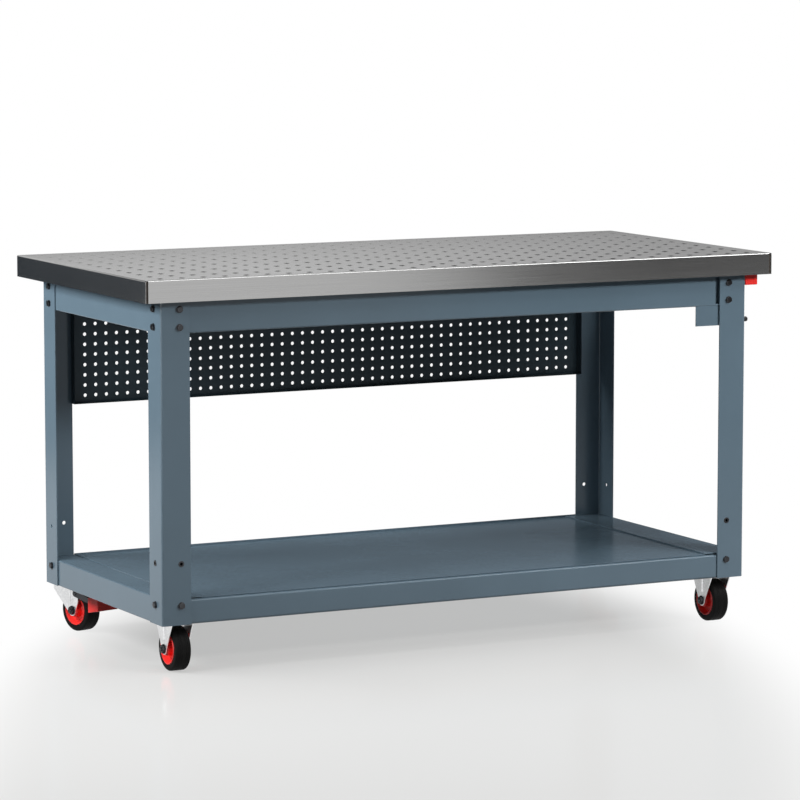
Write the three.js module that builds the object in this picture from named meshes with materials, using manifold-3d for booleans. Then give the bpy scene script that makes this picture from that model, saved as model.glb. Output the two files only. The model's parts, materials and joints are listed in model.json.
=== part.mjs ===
// Mobile assembly table: a steel-clad worktop on a bolted angle frame, with a lower shelf,
// a perforated back panel, a grab handle and four castors.
// Millimetres, +Z up, front towards -Y, origin on the floor under the middle of the table.

import * as THREE from 'three';
import { mergeGeometries, mergeVertices } from 'three/addons/utils/BufferGeometryUtils.js';
import Module from 'manifold-3d';

const wasm = await Module();
wasm.setup();

// Driving dimensions: clearances
const FIT = 0.3;
const BOLT_CLEARANCE = 1;
const RUNNING_FIT = 0.6;

// Worktop
const TOP_LENGTH = 1600;
const TOP_DEPTH = 750;
const TOP_HEIGHT = 880;
const SKIRT_HEIGHT = 50;
const SKIN_WALL = 2;
const SEAM_GAP = 4;

// Legs
const SIDE_OVERHANG = 50;
const FRONT_OVERHANG = 35;
const LEG_WIDTH = 70;
const LEG_WALL = 3;
const LEG_BEND = 5;
const LEG_CLEARANCE = 110;

// Upper rails
const APRON_HEIGHT = 73;
const APRON_WALL = 2.5;
const APRON_TOP_FLANGE = 40;
const APRON_LOW_FLANGE = 25;

// Lower rails and shelf
const RAIL_HEIGHT = 60;
const RAIL_WALL = 2.5;
const RAIL_FLANGE = 40;
const SIDE_LEDGE = 65;
const REAR_LIP = 3;
const SHELF_WALL = 2;
const SHELF_STEP = 2;
const SHELF_STRIP = 30;
const SHELF_GAP = 3;
const STIFFENER_WIDTH = 60;
const STIFFENER_DEPTH = 25;

// Bolts and corner angles
const BOLT_DIAMETER = 8;
const BOLT_HEAD_ACROSS = 13;
const BOLT_HEAD_HEIGHT = 5.5;
const FRONT_BOLT_INSET = 46;
const SIDE_BOLT_INSET = 38;
const APRON_BOLT_DROP = 39;
const APRON_BOLT_SPACING = 40;
const RAIL_BOLT_HEIGHT = 44;
const SPARE_HOLE_HEIGHT = 137;
const ANGLE_WALL = 3;
const ANGLE_MARGIN = 8;

// Perforated back panel
const PANEL_WALL = 2;
const PANEL_HEIGHT = 228;
const PANEL_RETURN = 20;
const PANEL_MARGIN = 17;
const PANEL_END_MARGIN = 31;
const HOLE_PITCH_ALONG = 27;
const HOLE_PITCH_UP = 24;
const HOLE_SIZE = 8;

// Grab handle
const HANDLE_REACH = 33;
const HANDLE_HEIGHT = 25;
const HANDLE_DROP = 2;
const HANDLE_BAR = 8;
const HANDLE_ARM = 12;
const HANDLE_FOOT = 26;
const HANDLE_FOOT_WALL = 3;

// Accessory bracket and its clamp knob
const BRACKET_REACH = 62;
const BRACKET_HEIGHT = 46;
const BRACKET_DEPTH = 64;
const BRACKET_WALL = 3;
const KNOB_RISE = 8;
const KNOB_DIAMETER = 12;
const KNOB_LENGTH = 23;
const KNOB_SCREW = 6;
const KNOB_COLLAR_ACROSS = 10;
const KNOB_COLLAR_HEIGHT = 5;

// Castors
const WHEEL_DIAMETER = 100;
const WHEEL_WIDTH = 38;
const TYRE_DEPTH = 14;
const TYRE_SHOULDER = 5;
const RIM_WEB = 14;
const RIM_LIP = 3;
const HUB_WALL = 5;
const BUSH_WALL = 3;
const AXLE_DIAMETER = 10;
const AXLE_HEAD_ACROSS = 17;
const AXLE_HEAD_HEIGHT = 6;
const CASTOR_HEIGHT = 128;
const CASTOR_INSET_SIDE = 53;
const CASTOR_INSET_FRONT = 54;
const CASTOR_INSET_REAR = 38;
const CASTOR_PLATE = 94;
const CASTOR_PLATE_WALL = 5;
const CASTOR_BOLT_SPACING = 56;
const FORK_WALL = 3;
const FORK_GAP = 5;
const FORK_FOOT = 13;
const FIXED_FORK_LENGTH = 84;
const FIXED_FORK_NECK = 20;
const SWIVEL_TRAIL = 30;
const SWIVEL_CUP_DIAMETER = 58;
const SWIVEL_RACE = 5;
const SWIVEL_RACE_DIAMETER = 54;
const SHOULDER_CLEARANCE = 3;
const SHOULDER_FRONT = 22;
const SHOULDER_REAR = 40;
const SHOULDER_REAR_HEIGHT = 12;
const KINGPIN_DIAMETER = 12;
const KINGPIN_NUT_DIAMETER = 20;
const KINGPIN_NUT_HEIGHT = 7;
const SWIVEL_REST_LEFT = 15;
const SWIVEL_REST_RIGHT = -8;

// Brake pedals on the swivel castors
const PEDAL_WALL = 3;
const PEDAL_PIVOT_REACH = 14;
const PEDAL_PIVOT_HEIGHT = 92;
const PEDAL_PIN = 6;
const PEDAL_EAR = 8;
const PEDAL_PAD_START = 64;
const PEDAL_PAD_LENGTH = 38;
const PEDAL_PAD_TOP = 90;
const PEDAL_PAD_HEIGHT = 38;
const PEDAL_TIP_HEIGHT = 30;
const PEDAL_PAD_WALL = 6;

// Roundness of the facets
const HOLE_SIDES = 8;
const PIN_SIDES = 8;
const TURNED_SIDES = 12;
const WHEEL_SIDES = 20;
const BEND_STEPS = 3;
const FOOT_STEPS = 6;
const HEX = 6;
const WELD_TOLERANCE = 1e-4;

// Faces that several pieces share
const legOuterX = TOP_LENGTH / 2 - SIDE_OVERHANG;
const legOuterY = TOP_DEPTH / 2 - FRONT_OVERHANG;
const legInnerX = legOuterX - LEG_WALL;
const legInnerY = legOuterY - LEG_WALL;
const legEdgeX = legOuterX - LEG_WIDTH;
const frameTop = TOP_HEIGHT - SKIRT_HEIGHT - FIT;
const railOuterX = legInnerX - FIT;
const railOuterY = legInnerY - FIT;
const railEndY = legOuterY - LEG_BEND - FIT;
const apronInnerX = railOuterX - APRON_WALL;
const apronInnerY = railOuterY - APRON_WALL;
const apronBottom = TOP_HEIGHT - SKIRT_HEIGHT - APRON_HEIGHT;
const lowerInnerX = railOuterX - RAIL_WALL;
const lowerInnerY = railOuterY - RAIL_WALL;
const ledgeTop = LEG_CLEARANCE + RAIL_HEIGHT;
const shelfTop = ledgeTop - SHELF_STEP;
const shelfBottom = shelfTop - SHELF_WALL;
const shelfSeat = shelfBottom - FIT;
const frontBoltX = legOuterX - FRONT_BOLT_INSET;
const sideBoltY = legOuterY - SIDE_BOLT_INSET;
const apronBoltZ = TOP_HEIGHT - SKIRT_HEIGHT - APRON_BOLT_DROP;
const apronBoltHeights = [apronBoltZ - APRON_BOLT_SPACING / 2, apronBoltZ + APRON_BOLT_SPACING / 2];
const railBoltZ = LEG_CLEARANCE + RAIL_BOLT_HEIGHT;
const spareHoleZ = LEG_CLEARANCE + SPARE_HOLE_HEIGHT;
const boltHole = BOLT_DIAMETER + BOLT_CLEARANCE;

// Castor levels and widths
const wheelRadius = WHEEL_DIAMETER / 2;
const forkInner = WHEEL_WIDTH / 2 + FORK_GAP;
const forkOuter = forkInner + FORK_WALL;
const castorPlateBottom = CASTOR_HEIGHT + FIT;
const castorPlateTop = castorPlateBottom + CASTOR_PLATE_WALL;
const axleHole = AXLE_DIAMETER + RUNNING_FIT;

// Finishes
const finish = (color, roughness, metalness) => (
  new THREE.MeshStandardMaterial({ color, roughness, metalness }));
const STAINLESS = finish(0xb9bcc0, 0.35, 1);
const BOARD = finish(0xa07a4e, 0.8, 0);
const PAINT = finish(0x5f7380, 0.4, 0);
const DARK_PAINT = finish(0x2b3540, 0.5, 0);
const ZINC = finish(0xd0d2d4, 0.3, 1);
const DARK_ZINC = finish(0x55585c, 0.4, 1);
const RED_PLASTIC = finish(0xc8201e, 0.35, 0);
const BLACK_RUBBER = finish(0x141414, 0.7, 0);
const BLACK_PLASTIC = finish(0x181818, 0.5, 0);
const BUSH_PLASTIC = finish(0xd8d4c8, 0.6, 0);

const table = new THREE.Group();

// Solids

function toSolid(geometry) {
  const bare = geometry.index ? geometry.toNonIndexed() : geometry.clone();
  bare.deleteAttribute('normal');
  bare.deleteAttribute('uv');
  const merged = mergeVertices(bare, WELD_TOLERANCE);
  return new wasm.Manifold(new wasm.Mesh({
    numProp: 3,
    vertProperties: new Float32Array(merged.attributes.position.array),
    triVerts: new Uint32Array(merged.index.array),
  }));
}

function toGeometry(solid) {
  const mesh = solid.getMesh();
  const geometry = new THREE.BufferGeometry();
  geometry.setAttribute('position', new THREE.BufferAttribute(mesh.vertProperties, 3));
  geometry.setIndex(new THREE.BufferAttribute(mesh.triVerts, 1));
  geometry.computeVertexNormals();
  return geometry;
}

function join(first, ...others) {
  return others.reduce((whole, other) => whole.add(other), first);
}

function cut(first, ...others) {
  return others.reduce((whole, other) => whole.subtract(other), first);
}

function addPart(name, solid, material, parent = table) {
  const mesh = new THREE.Mesh(toGeometry(solid), material);
  mesh.name = name;
  parent.add(mesh);
}

function boxGeometry(x0, x1, y0, y1, z0, z1) {
  const geometry = new THREE.BoxGeometry(Math.abs(x1 - x0), Math.abs(y1 - y0), Math.abs(z1 - z0));
  return geometry.translate((x0 + x1) / 2, (y0 + y1) / 2, (z0 + z1) / 2);
}

function box(...corners) {
  return toSolid(boxGeometry(...corners));
}

// An outline extruded along Z, from z0 to z1
function uprightPrism(outline, z0, z1) {
  const shape = new THREE.Shape(outline.map(([x, y]) => new THREE.Vector2(x, y)));
  const geometry = new THREE.ExtrudeGeometry(shape, { depth: z1 - z0, bevelEnabled: false });
  geometry.translate(0, 0, z0);
  return geometry;
}

// An outline in the Y and Z directions, extruded along X
function crossPrism(outline, x0, x1) {
  const geometry = uprightPrism(outline, x0, x1);
  geometry.rotateY(Math.PI / 2);
  geometry.rotateX(Math.PI / 2);
  return toSolid(geometry);
}

// A round or many-sided rod along the named axis through the point
function rod(axis, [x, y, z], diameter, sides, start, end) {
  const geometry = new THREE.CylinderGeometry(diameter / 2, diameter / 2, end - start, sides);
  geometry.translate(0, (start + end) / 2, 0);
  if (axis === 'x') {
    geometry.rotateZ(-Math.PI / 2);
    geometry.translate(0, y, z);
  } else if (axis === 'y') {
    geometry.translate(x, 0, z);
  } else {
    geometry.rotateX(Math.PI / 2);
    geometry.translate(x, y, 0);
  }
  return toSolid(geometry);
}

function hexRod(axis, point, across, start, end) {
  return rod(axis, point, across / Math.cos(Math.PI / HEX), HEX, start, end);
}

// A profile of [radius, height] points turned about Z
function turned(profile, sides) {
  const points = profile.map(([radius, height]) => new THREE.Vector2(radius, height));
  const geometry = new THREE.LatheGeometry(points, sides);
  geometry.rotateX(Math.PI / 2);
  return toSolid(geometry);
}

// The same, turned about the axle, which runs along X at the given height
function turnedOnAxle(profile, sides, z) {
  const points = profile.map(([radius, along]) => new THREE.Vector2(radius, along));
  const geometry = new THREE.LatheGeometry(points, sides);
  geometry.rotateZ(-Math.PI / 2);
  geometry.translate(0, 0, z);
  return toSolid(geometry);
}

function arc(centre, radius, fromDegrees, toDegrees, steps) {
  return Array.from({ length: steps + 1 }, (_, i) => {
    const angle = THREE.MathUtils.degToRad(fromDegrees + (toDegrees - fromDegrees) * i / steps);
    return [centre[0] + radius * Math.cos(angle), centre[1] + radius * Math.sin(angle)];
  });
}

const CORNERS = [
  { name: 'front_left', sideX: -1, sideY: -1 },
  { name: 'front_right', sideX: 1, sideY: -1 },
  { name: 'rear_left', sideX: -1, sideY: 1 },
  { name: 'rear_right', sideX: 1, sideY: 1 },
];

// Worktop: a folded skin over a board

function worktop() {
  const x = TOP_LENGTH / 2;
  const y = TOP_DEPTH / 2;
  const skirtBottom = TOP_HEIGHT - SKIRT_HEIGHT;
  const sheetBottom = TOP_HEIGHT - SKIN_WALL;
  const seam = SKIN_WALL + SEAM_GAP;
  const skin = join(
    box(-x, x, -y, y, sheetBottom, TOP_HEIGHT),
    box(-x + seam, x, -y, -y + SKIN_WALL, skirtBottom, sheetBottom),
    box(x - SKIN_WALL, x, -y + seam, y, skirtBottom, sheetBottom),
    box(-x, x - seam, y - SKIN_WALL, y, skirtBottom, sheetBottom),
    box(-x, -x + SKIN_WALL, -y, y - seam, skirtBottom, sheetBottom),
  );
  addPart('worktop_skin', skin, STAINLESS);
  const inset = SKIN_WALL + FIT;
  const board = box(-x + inset, x - inset, -y + inset, y - inset, skirtBottom, sheetBottom - FIT);
  addPart('worktop_board', board, BOARD);
}

// Legs: equal angles with a bent corner

function legOutline({ sideX, sideY }) {
  const bendX = legOuterX - LEG_BEND;
  const bendY = legOuterY - LEG_BEND;
  const legEdgeY = legOuterY - LEG_WIDTH;
  const outline = [
    [legEdgeX, legOuterY],
    ...arc([bendX, bendY], LEG_BEND, 90, 0, BEND_STEPS),
    [legOuterX, legEdgeY],
    [legInnerX, legEdgeY],
    ...arc([bendX, bendY], LEG_BEND - LEG_WALL, 0, 90, BEND_STEPS),
    [legEdgeX, legInnerY],
  ];
  return outline.map(([x, y]) => [sideX * x, sideY * y]);
}

function legHoles({ sideX, sideY }, diameter, heights) {
  const reach = LEG_WALL + BOLT_CLEARANCE;
  return heights.flatMap((z) => [
    rod('y', [sideX * frontBoltX, 0, z], diameter, HOLE_SIDES,
      sideY * legOuterY - reach, sideY * legOuterY + reach),
    rod('x', [0, sideY * sideBoltY, z], diameter, HOLE_SIDES,
      sideX * legOuterX - reach, sideX * legOuterX + reach),
  ]);
}

function legs() {
  for (const corner of CORNERS) {
    const angle = toSolid(uprightPrism(legOutline(corner), LEG_CLEARANCE, frameTop));
    const heights = [...apronBoltHeights, railBoltZ, spareHoleZ];
    let leg = cut(angle, ...legHoles(corner, boltHole, heights));
    if (corner.name === 'front_right') {
      leg = cut(leg, knobHole(legInnerX - LEG_WALL, legOuterX + LEG_WALL));
    }
    addPart(`leg_${corner.name}`, leg, PAINT);
  }
}

// Upper rails: channels bolted behind the legs

function boltHolesAlongY(heights, start, end) {
  return heights.flatMap((z) => [-1, 1].map((sideX) => (
    rod('y', [sideX * frontBoltX, 0, z], boltHole, HOLE_SIDES, start, end))));
}

function boltHolesAlongX(heights, start, end) {
  return heights.flatMap((z) => [-1, 1].map((sideY) => (
    rod('x', [0, sideY * sideBoltY, z], boltHole, HOLE_SIDES, start, end))));
}

function span(side, near, far) {
  return side > 0 ? [near, far] : [-far, -near];
}

function aprons() {
  const flangeEnd = railOuterY - APRON_TOP_FLANGE - FIT;
  for (const [name, side] of [['front', -1], ['rear', 1]]) {
    const end = apronInnerX - FIT;
    const web = span(side, apronInnerY, railOuterY);
    const top = span(side, railOuterY - APRON_TOP_FLANGE, railOuterY);
    const low = span(side, railOuterY - APRON_LOW_FLANGE, railOuterY);
    const channel = join(
      box(-end, end, ...web, apronBottom, frameTop),
      box(-end, end, ...top, frameTop - APRON_WALL, frameTop),
      box(-end, end, ...low, apronBottom, apronBottom + APRON_WALL),
    );
    const holes = boltHolesAlongY(apronBoltHeights, web[0] - FIT, web[1] + FIT);
    addPart(`apron_${name}`, cut(channel, ...holes), PAINT);
  }
  for (const [name, side] of [['left', -1], ['right', 1]]) {
    const web = span(side, apronInnerX, railOuterX);
    const top = span(side, railOuterX - APRON_TOP_FLANGE, railOuterX);
    const low = span(side, railOuterX - APRON_LOW_FLANGE, railOuterX);
    const lowEnd = railOuterY - APRON_LOW_FLANGE - FIT;
    const channel = join(
      box(...web, -railEndY, railEndY, apronBottom, frameTop),
      box(...top, -flangeEnd, flangeEnd, frameTop - APRON_WALL, frameTop),
      box(...low, -lowEnd, lowEnd, apronBottom, apronBottom + APRON_WALL),
    );
    const holes = boltHolesAlongX(apronBoltHeights, web[0] - FIT, web[1] + FIT);
    addPart(`apron_${name}`, cut(channel, ...holes), PAINT);
  }
}

// Lower rails: angles that carry the shelf and the castor plates

function lowerRails() {
  const lipEnd = legEdgeX - FIT;
  for (const [name, side, lipTop] of [['front', -1, shelfSeat], ['rear', 1, ledgeTop + REAR_LIP]]) {
    const end = lowerInnerX - FIT;
    const web = span(side, lowerInnerY, railOuterY);
    const flange = span(side, railOuterY - RAIL_FLANGE, railOuterY);
    const rail = join(
      box(-end, end, ...web, LEG_CLEARANCE, shelfSeat),
      box(-end, end, ...flange, shelfSeat - RAIL_WALL, shelfSeat),
      box(-lipEnd, lipEnd, ...web, shelfSeat - RAIL_WALL, lipTop),
    );
    const holes = boltHolesAlongY([railBoltZ], web[0] - FIT, web[1] + FIT);
    addPart(`lower_rail_${name}`, cut(rail, ...holes), PAINT);
  }
  for (const [name, side] of [['left', -1], ['right', 1]]) {
    const web = span(side, lowerInnerX, railOuterX);
    const ledge = span(side, railOuterX - SIDE_LEDGE, railOuterX);
    const rail = join(
      box(...web, -railEndY, railEndY, LEG_CLEARANCE, ledgeTop),
      box(...ledge, -railEndY, railEndY, ledgeTop - RAIL_WALL, ledgeTop),
    );
    const holes = boltHolesAlongX([railBoltZ], web[0] - FIT, web[1] + FIT);
    addPart(`lower_rail_${name}`, cut(rail, ...holes), PAINT);
  }
}

// Shelf: a sheet with stepped-up ends, stiffened by a channel under its middle

function shelf() {
  const end = railOuterX - SIDE_LEDGE - SHELF_GAP;
  const front = -railOuterY;
  const rear = lowerInnerY - FIT;
  const field = end - SHELF_STRIP;
  const stepWidth = SHELF_WALL;
  const strips = [-1, 1].flatMap((side) => [
    box(...span(side, field, end), front, rear, ledgeTop - SHELF_WALL, ledgeTop),
    box(...span(side, field, field + stepWidth), front, rear, shelfBottom, ledgeTop),
  ]);
  const fieldEnd = field + stepWidth;
  const sheet = join(box(-fieldEnd, fieldEnd, front, rear, shelfBottom, shelfTop), ...strips);
  addPart('shelf_panel', sheet, PAINT);
  const half = STIFFENER_WIDTH / 2;
  const reach = railOuterY - RAIL_FLANGE - FIT;
  const channel = cut(
    box(-half, half, -reach, reach, shelfSeat - STIFFENER_DEPTH, shelfSeat),
    box(-half + RAIL_WALL, half - RAIL_WALL, -reach - FIT, reach + FIT,
      shelfSeat - STIFFENER_DEPTH - FIT, shelfSeat - RAIL_WALL),
  );
  addPart('shelf_stiffener', channel, PAINT);
}

// Corner angles with their bolts: the upper ones hold the aprons, the lower ones the rails

function cornerBolts(corner, level, heights, innerX, innerY) {
  const { name, sideX, sideY } = corner;
  const x = innerX - FIT;
  const y = innerY - FIT;
  const reachX = frontBoltX - ANGLE_MARGIN;
  const reachY = sideBoltY - ANGLE_MARGIN;
  const outline = [
    [reachX, y], [x, y], [x, reachY],
    [x - ANGLE_WALL, reachY], [x - ANGLE_WALL, y - ANGLE_WALL], [reachX, y - ANGLE_WALL],
  ].map(([px, py]) => [sideX * px, sideY * py]);
  const low = Math.min(...heights) - ANGLE_MARGIN;
  const high = Math.max(...heights) + ANGLE_MARGIN;
  const angle = toSolid(uprightPrism(outline, low, high));
  const bolts = heights.flatMap((z) => [
    bolt('y', [sideX * frontBoltX, 0, z], sideY, innerY - FIT - ANGLE_WALL / 2, legOuterY + FIT),
    bolt('x', [0, sideY * sideBoltY, z], sideX, innerX - FIT - ANGLE_WALL / 2, legOuterX + FIT),
  ]);
  addPart(`${level}_bolts_${name}`, join(angle, ...bolts.flat()), DARK_ZINC);
}

function bolt(axis, point, side, inner, outer) {
  return [
    rod(axis, point, BOLT_DIAMETER, PIN_SIDES, ...span(side, inner, outer + BOLT_HEAD_HEIGHT / 2)),
    hexRod(axis, point, BOLT_HEAD_ACROSS, ...span(side, outer, outer + BOLT_HEAD_HEIGHT)),
  ];
}

function fasteners() {
  for (const corner of CORNERS) {
    cornerBolts(corner, 'upper', apronBoltHeights, apronInnerX, apronInnerY);
    cornerBolts(corner, 'lower', [railBoltZ], lowerInnerX, lowerInnerY);
  }
}

// Perforated back panel: a tray hung under the rear apron, with its edges folded forwards

function backPanel() {
  const end = legEdgeX - FIT;
  const top = apronBottom - FIT;
  const bottom = top - PANEL_HEIGHT;
  const back = railOuterY;
  const face = back - PANEL_WALL;
  const rim = back - PANEL_RETURN;
  const columns = Math.floor((2 * end - 2 * PANEL_END_MARGIN) / HOLE_PITCH_ALONG) + 1;
  const rows = Math.floor((PANEL_HEIGHT - 2 * PANEL_MARGIN) / HOLE_PITCH_UP) + 1;
  const middle = (top + bottom) / 2;
  const half = HOLE_SIZE / 2;
  const holes = [];
  for (let column = 0; column < columns; column += 1) {
    for (let row = 0; row < rows; row += 1) {
      const x = (column - (columns - 1) / 2) * HOLE_PITCH_ALONG;
      const z = middle + (row - (rows - 1) / 2) * HOLE_PITCH_UP;
      holes.push(boxGeometry(x - half, x + half, face - FIT, back + FIT, z - half, z + half));
    }
  }
  const tray = join(
    cut(box(-end, end, face, back, bottom, top), toSolid(mergeGeometries(holes))),
    box(-end, end, rim, face + PANEL_WALL / 2, top - PANEL_WALL, top),
    box(-end, end, rim, face + PANEL_WALL / 2, bottom, bottom + PANEL_WALL),
    box(-end, -end + PANEL_WALL, rim, face + PANEL_WALL / 2, bottom, top),
    box(end - PANEL_WALL, end, rim, face + PANEL_WALL / 2, bottom, top),
  );
  addPart('back_panel', tray, DARK_PAINT);
}

// Grab handle under the right overhang

function grabHandle() {
  const seat = legOuterX + FIT;
  const reach = seat + HANDLE_REACH;
  const top = TOP_HEIGHT - SKIRT_HEIGHT - HANDLE_DROP;
  const bottom = top - HANDLE_HEIGHT;
  const arms = [-1, 1].flatMap((side) => [
    box(seat, reach, ...span(side, legOuterY - HANDLE_ARM, legOuterY), bottom, top),
    box(seat, seat + HANDLE_FOOT_WALL, ...span(side, legOuterY - HANDLE_FOOT, legOuterY), bottom, top),
  ]);
  const bar = box(reach - HANDLE_BAR, reach, -legOuterY, legOuterY, bottom, top);
  addPart('grab_handle', join(bar, ...arms), RED_PLASTIC);
}

// Accessory bracket in the front right corner, held by a clamp knob

const bracketTop = apronBottom - FIT;
const bracketBottom = bracketTop - BRACKET_HEIGHT;
const knobZ = bracketBottom + KNOB_RISE;

function knobHole(start, end) {
  return rod('x', [0, -sideBoltY, knobZ], KNOB_SCREW + RUNNING_FIT, HOLE_SIDES, start, end);
}

function accessoryBracket() {
  const bend = LEG_BEND - LEG_WALL;
  const outline = [
    [legEdgeX - BRACKET_REACH, -railOuterY],
    [railOuterX - bend, -railOuterY],
    [railOuterX, -railOuterY + bend],
    [railOuterX, -railOuterY + BRACKET_DEPTH],
    [railOuterX - BRACKET_WALL, -railOuterY + BRACKET_DEPTH],
    [railOuterX - BRACKET_WALL, -railOuterY + BRACKET_WALL],
    [legEdgeX - BRACKET_REACH, -railOuterY + BRACKET_WALL],
  ];
  const plate = toSolid(uprightPrism(outline, bracketBottom, bracketTop));
  const hole = knobHole(railOuterX - BRACKET_WALL - FIT, railOuterX + FIT);
  addPart('accessory_bracket', cut(plate, hole), PAINT);
  const axis = [0, -sideBoltY, knobZ];
  const collarEnd = railOuterX - BRACKET_WALL - FIT;
  const gripStart = legOuterX + FIT;
  const knob = join(
    rod('x', axis, KNOB_DIAMETER, TURNED_SIDES, gripStart, gripStart + KNOB_LENGTH),
    rod('x', axis, KNOB_SCREW, PIN_SIDES, collarEnd - KNOB_COLLAR_HEIGHT, gripStart + KNOB_LENGTH / 2),
    hexRod('x', axis, KNOB_COLLAR_ACROSS, collarEnd - KNOB_COLLAR_HEIGHT, collarEnd),
  );
  addPart('clamp_knob', knob, BLACK_PLASTIC);
}

// Castors: each stands in its own group, with the axle along X

function castorPlates() {
  for (const { name, sideX, sideY } of CORNERS) {
    const x = span(sideX, lowerInnerX - FIT - CASTOR_PLATE, lowerInnerX - FIT);
    const y = span(sideY, lowerInnerY - FIT - CASTOR_PLATE, lowerInnerY - FIT);
    const plate = box(...x, ...y, castorPlateBottom, castorPlateTop);
    const centre = castorCentre({ sideX, sideY });
    if (sideY < 0) {
      const bolts = [-1, 1].flatMap((end) => {
        const point = [centre[0], centre[1] + end * CASTOR_BOLT_SPACING / 2, 0];
        const underside = CASTOR_HEIGHT - FORK_WALL - FIT;
        return [
          rod('z', point, BOLT_DIAMETER, PIN_SIDES, underside - BOLT_HEAD_HEIGHT / 2, castorPlateTop),
          hexRod('z', point, BOLT_HEAD_ACROSS, underside - BOLT_HEAD_HEIGHT, underside),
        ];
      });
      addPart(`castor_plate_${name}`, join(plate, ...bolts), DARK_ZINC);
    } else {
      const hole = rod('z', [centre[0], centre[1], 0], KINGPIN_DIAMETER + RUNNING_FIT, TURNED_SIDES,
        castorPlateBottom - FIT, castorPlateTop + FIT);
      addPart(`castor_plate_${name}`, cut(plate, hole), DARK_ZINC);
    }
  }
}

function castorCentre({ sideX, sideY }) {
  const inset = sideY < 0 ? CASTOR_INSET_FRONT : CASTOR_INSET_REAR;
  return [sideX * (legOuterX - CASTOR_INSET_SIDE), sideY * (legOuterY - inset)];
}

// A wheel on a bush, with its axle bolt through the fork
function wheel(name, parent) {
  const half = WHEEL_WIDTH / 2;
  const hubHalf = forkInner - RUNNING_FIT;
  const bushHalf = forkInner - FIT;
  const bushRadius = axleHole / 2 + BUSH_WALL;
  const boreRadius = bushRadius + FIT;
  const hubRadius = boreRadius + HUB_WALL;
  const seatRadius = wheelRadius - TYRE_DEPTH;
  const dishRadius = seatRadius - 2 * RIM_LIP;
  const webHalf = RIM_WEB / 2;
  const rimSide = (side) => [
    [boreRadius, side * hubHalf], [hubRadius, side * hubHalf], [hubRadius, side * webHalf],
    [dishRadius, side * webHalf], [seatRadius - RIM_LIP, side * half], [seatRadius, side * half],
  ];
  const rimProfile = [...rimSide(-1), ...rimSide(1).reverse()];
  const rim = turnedOnAxle([...rimProfile, rimProfile[0]], WHEEL_SIDES, wheelRadius);
  addPart(`wheel_rim_${name}`, rim, RED_PLASTIC, parent);
  const beadRadius = seatRadius + FIT;
  const tyreSide = (side) => [
    [beadRadius, side * half], [wheelRadius - TYRE_SHOULDER, side * half],
    [wheelRadius - TYRE_SHOULDER / 4, side * (half - TYRE_SHOULDER / 2)],
    [wheelRadius, side * (half - TYRE_SHOULDER * 1.5)],
  ];
  const tyreProfile = [...tyreSide(-1), ...tyreSide(1).reverse()];
  const tyre = turnedOnAxle([...tyreProfile, tyreProfile[0]], WHEEL_SIDES, wheelRadius);
  addPart(`tyre_${name}`, tyre, BLACK_RUBBER, parent);
  const bushProfile = [
    [axleHole / 2, -bushHalf], [bushRadius, -bushHalf], [bushRadius, bushHalf], [axleHole / 2, bushHalf],
  ];
  const bush = turnedOnAxle([...bushProfile, bushProfile[0]], TURNED_SIDES, wheelRadius);
  addPart(`wheel_bush_${name}`, bush, BUSH_PLASTIC, parent);
  const seat = forkOuter + FIT;
  const axis = [0, 0, wheelRadius];
  const axle = join(
    rod('x', axis, AXLE_DIAMETER, PIN_SIDES, -seat - AXLE_HEAD_HEIGHT / 2, seat + AXLE_HEAD_HEIGHT / 2),
    hexRod('x', axis, AXLE_HEAD_ACROSS, -seat - AXLE_HEAD_HEIGHT, -seat),
    hexRod('x', axis, AXLE_HEAD_ACROSS, seat, seat + AXLE_HEAD_HEIGHT),
  );
  addPart(`axle_bolt_${name}`, axle, DARK_ZINC, parent);
}

function axleHoleCut(y) {
  return rod('x', [0, y, wheelRadius], axleHole, HOLE_SIDES, -forkOuter - FIT, forkOuter + FIT);
}

// The two cheeks of a fork, cut from an outline in Y and Z
function forkCheeks(outline) {
  return [crossPrism(outline, -forkOuter, -forkInner), crossPrism(outline, forkInner, forkOuter)];
}

function fixedFork(name, parent, plateBolts) {
  const half = FIXED_FORK_LENGTH / 2;
  const top = CASTOR_HEIGHT;
  const outline = [
    [-half, top], [-half, top - FIXED_FORK_NECK],
    ...arc([0, wheelRadius], FORK_FOOT, 180, 360, FOOT_STEPS),
    [half, top - FIXED_FORK_NECK], [half, top],
  ];
  const crown = box(-forkOuter, forkOuter, -half, half, top - FORK_WALL, top);
  const holes = plateBolts.map((y) => (
    rod('z', [0, y, 0], boltHole, HOLE_SIDES, top - FORK_WALL - FIT, top + FIT)));
  const fork = cut(join(crown, ...forkCheeks(outline)), axleHoleCut(0), ...holes);
  addPart(`castor_fork_${name}`, fork, ZINC, parent);
}

function fixedCastor(corner) {
  const group = new THREE.Group();
  const [x, y] = castorCentre(corner);
  group.position.set(x, y, 0);
  fixedFork(corner.name, group, [-CASTOR_BOLT_SPACING / 2, CASTOR_BOLT_SPACING / 2]);
  wheel(corner.name, group);
  table.add(group);
}

// Swivel castor levels
const raceBottom = CASTOR_HEIGHT - SWIVEL_RACE;
const cupTop = raceBottom - FIT;
const shoulderTop = LEG_CLEARANCE - SHOULDER_CLEARANCE;
const shoulderBottom = shoulderTop - FORK_WALL;

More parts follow.
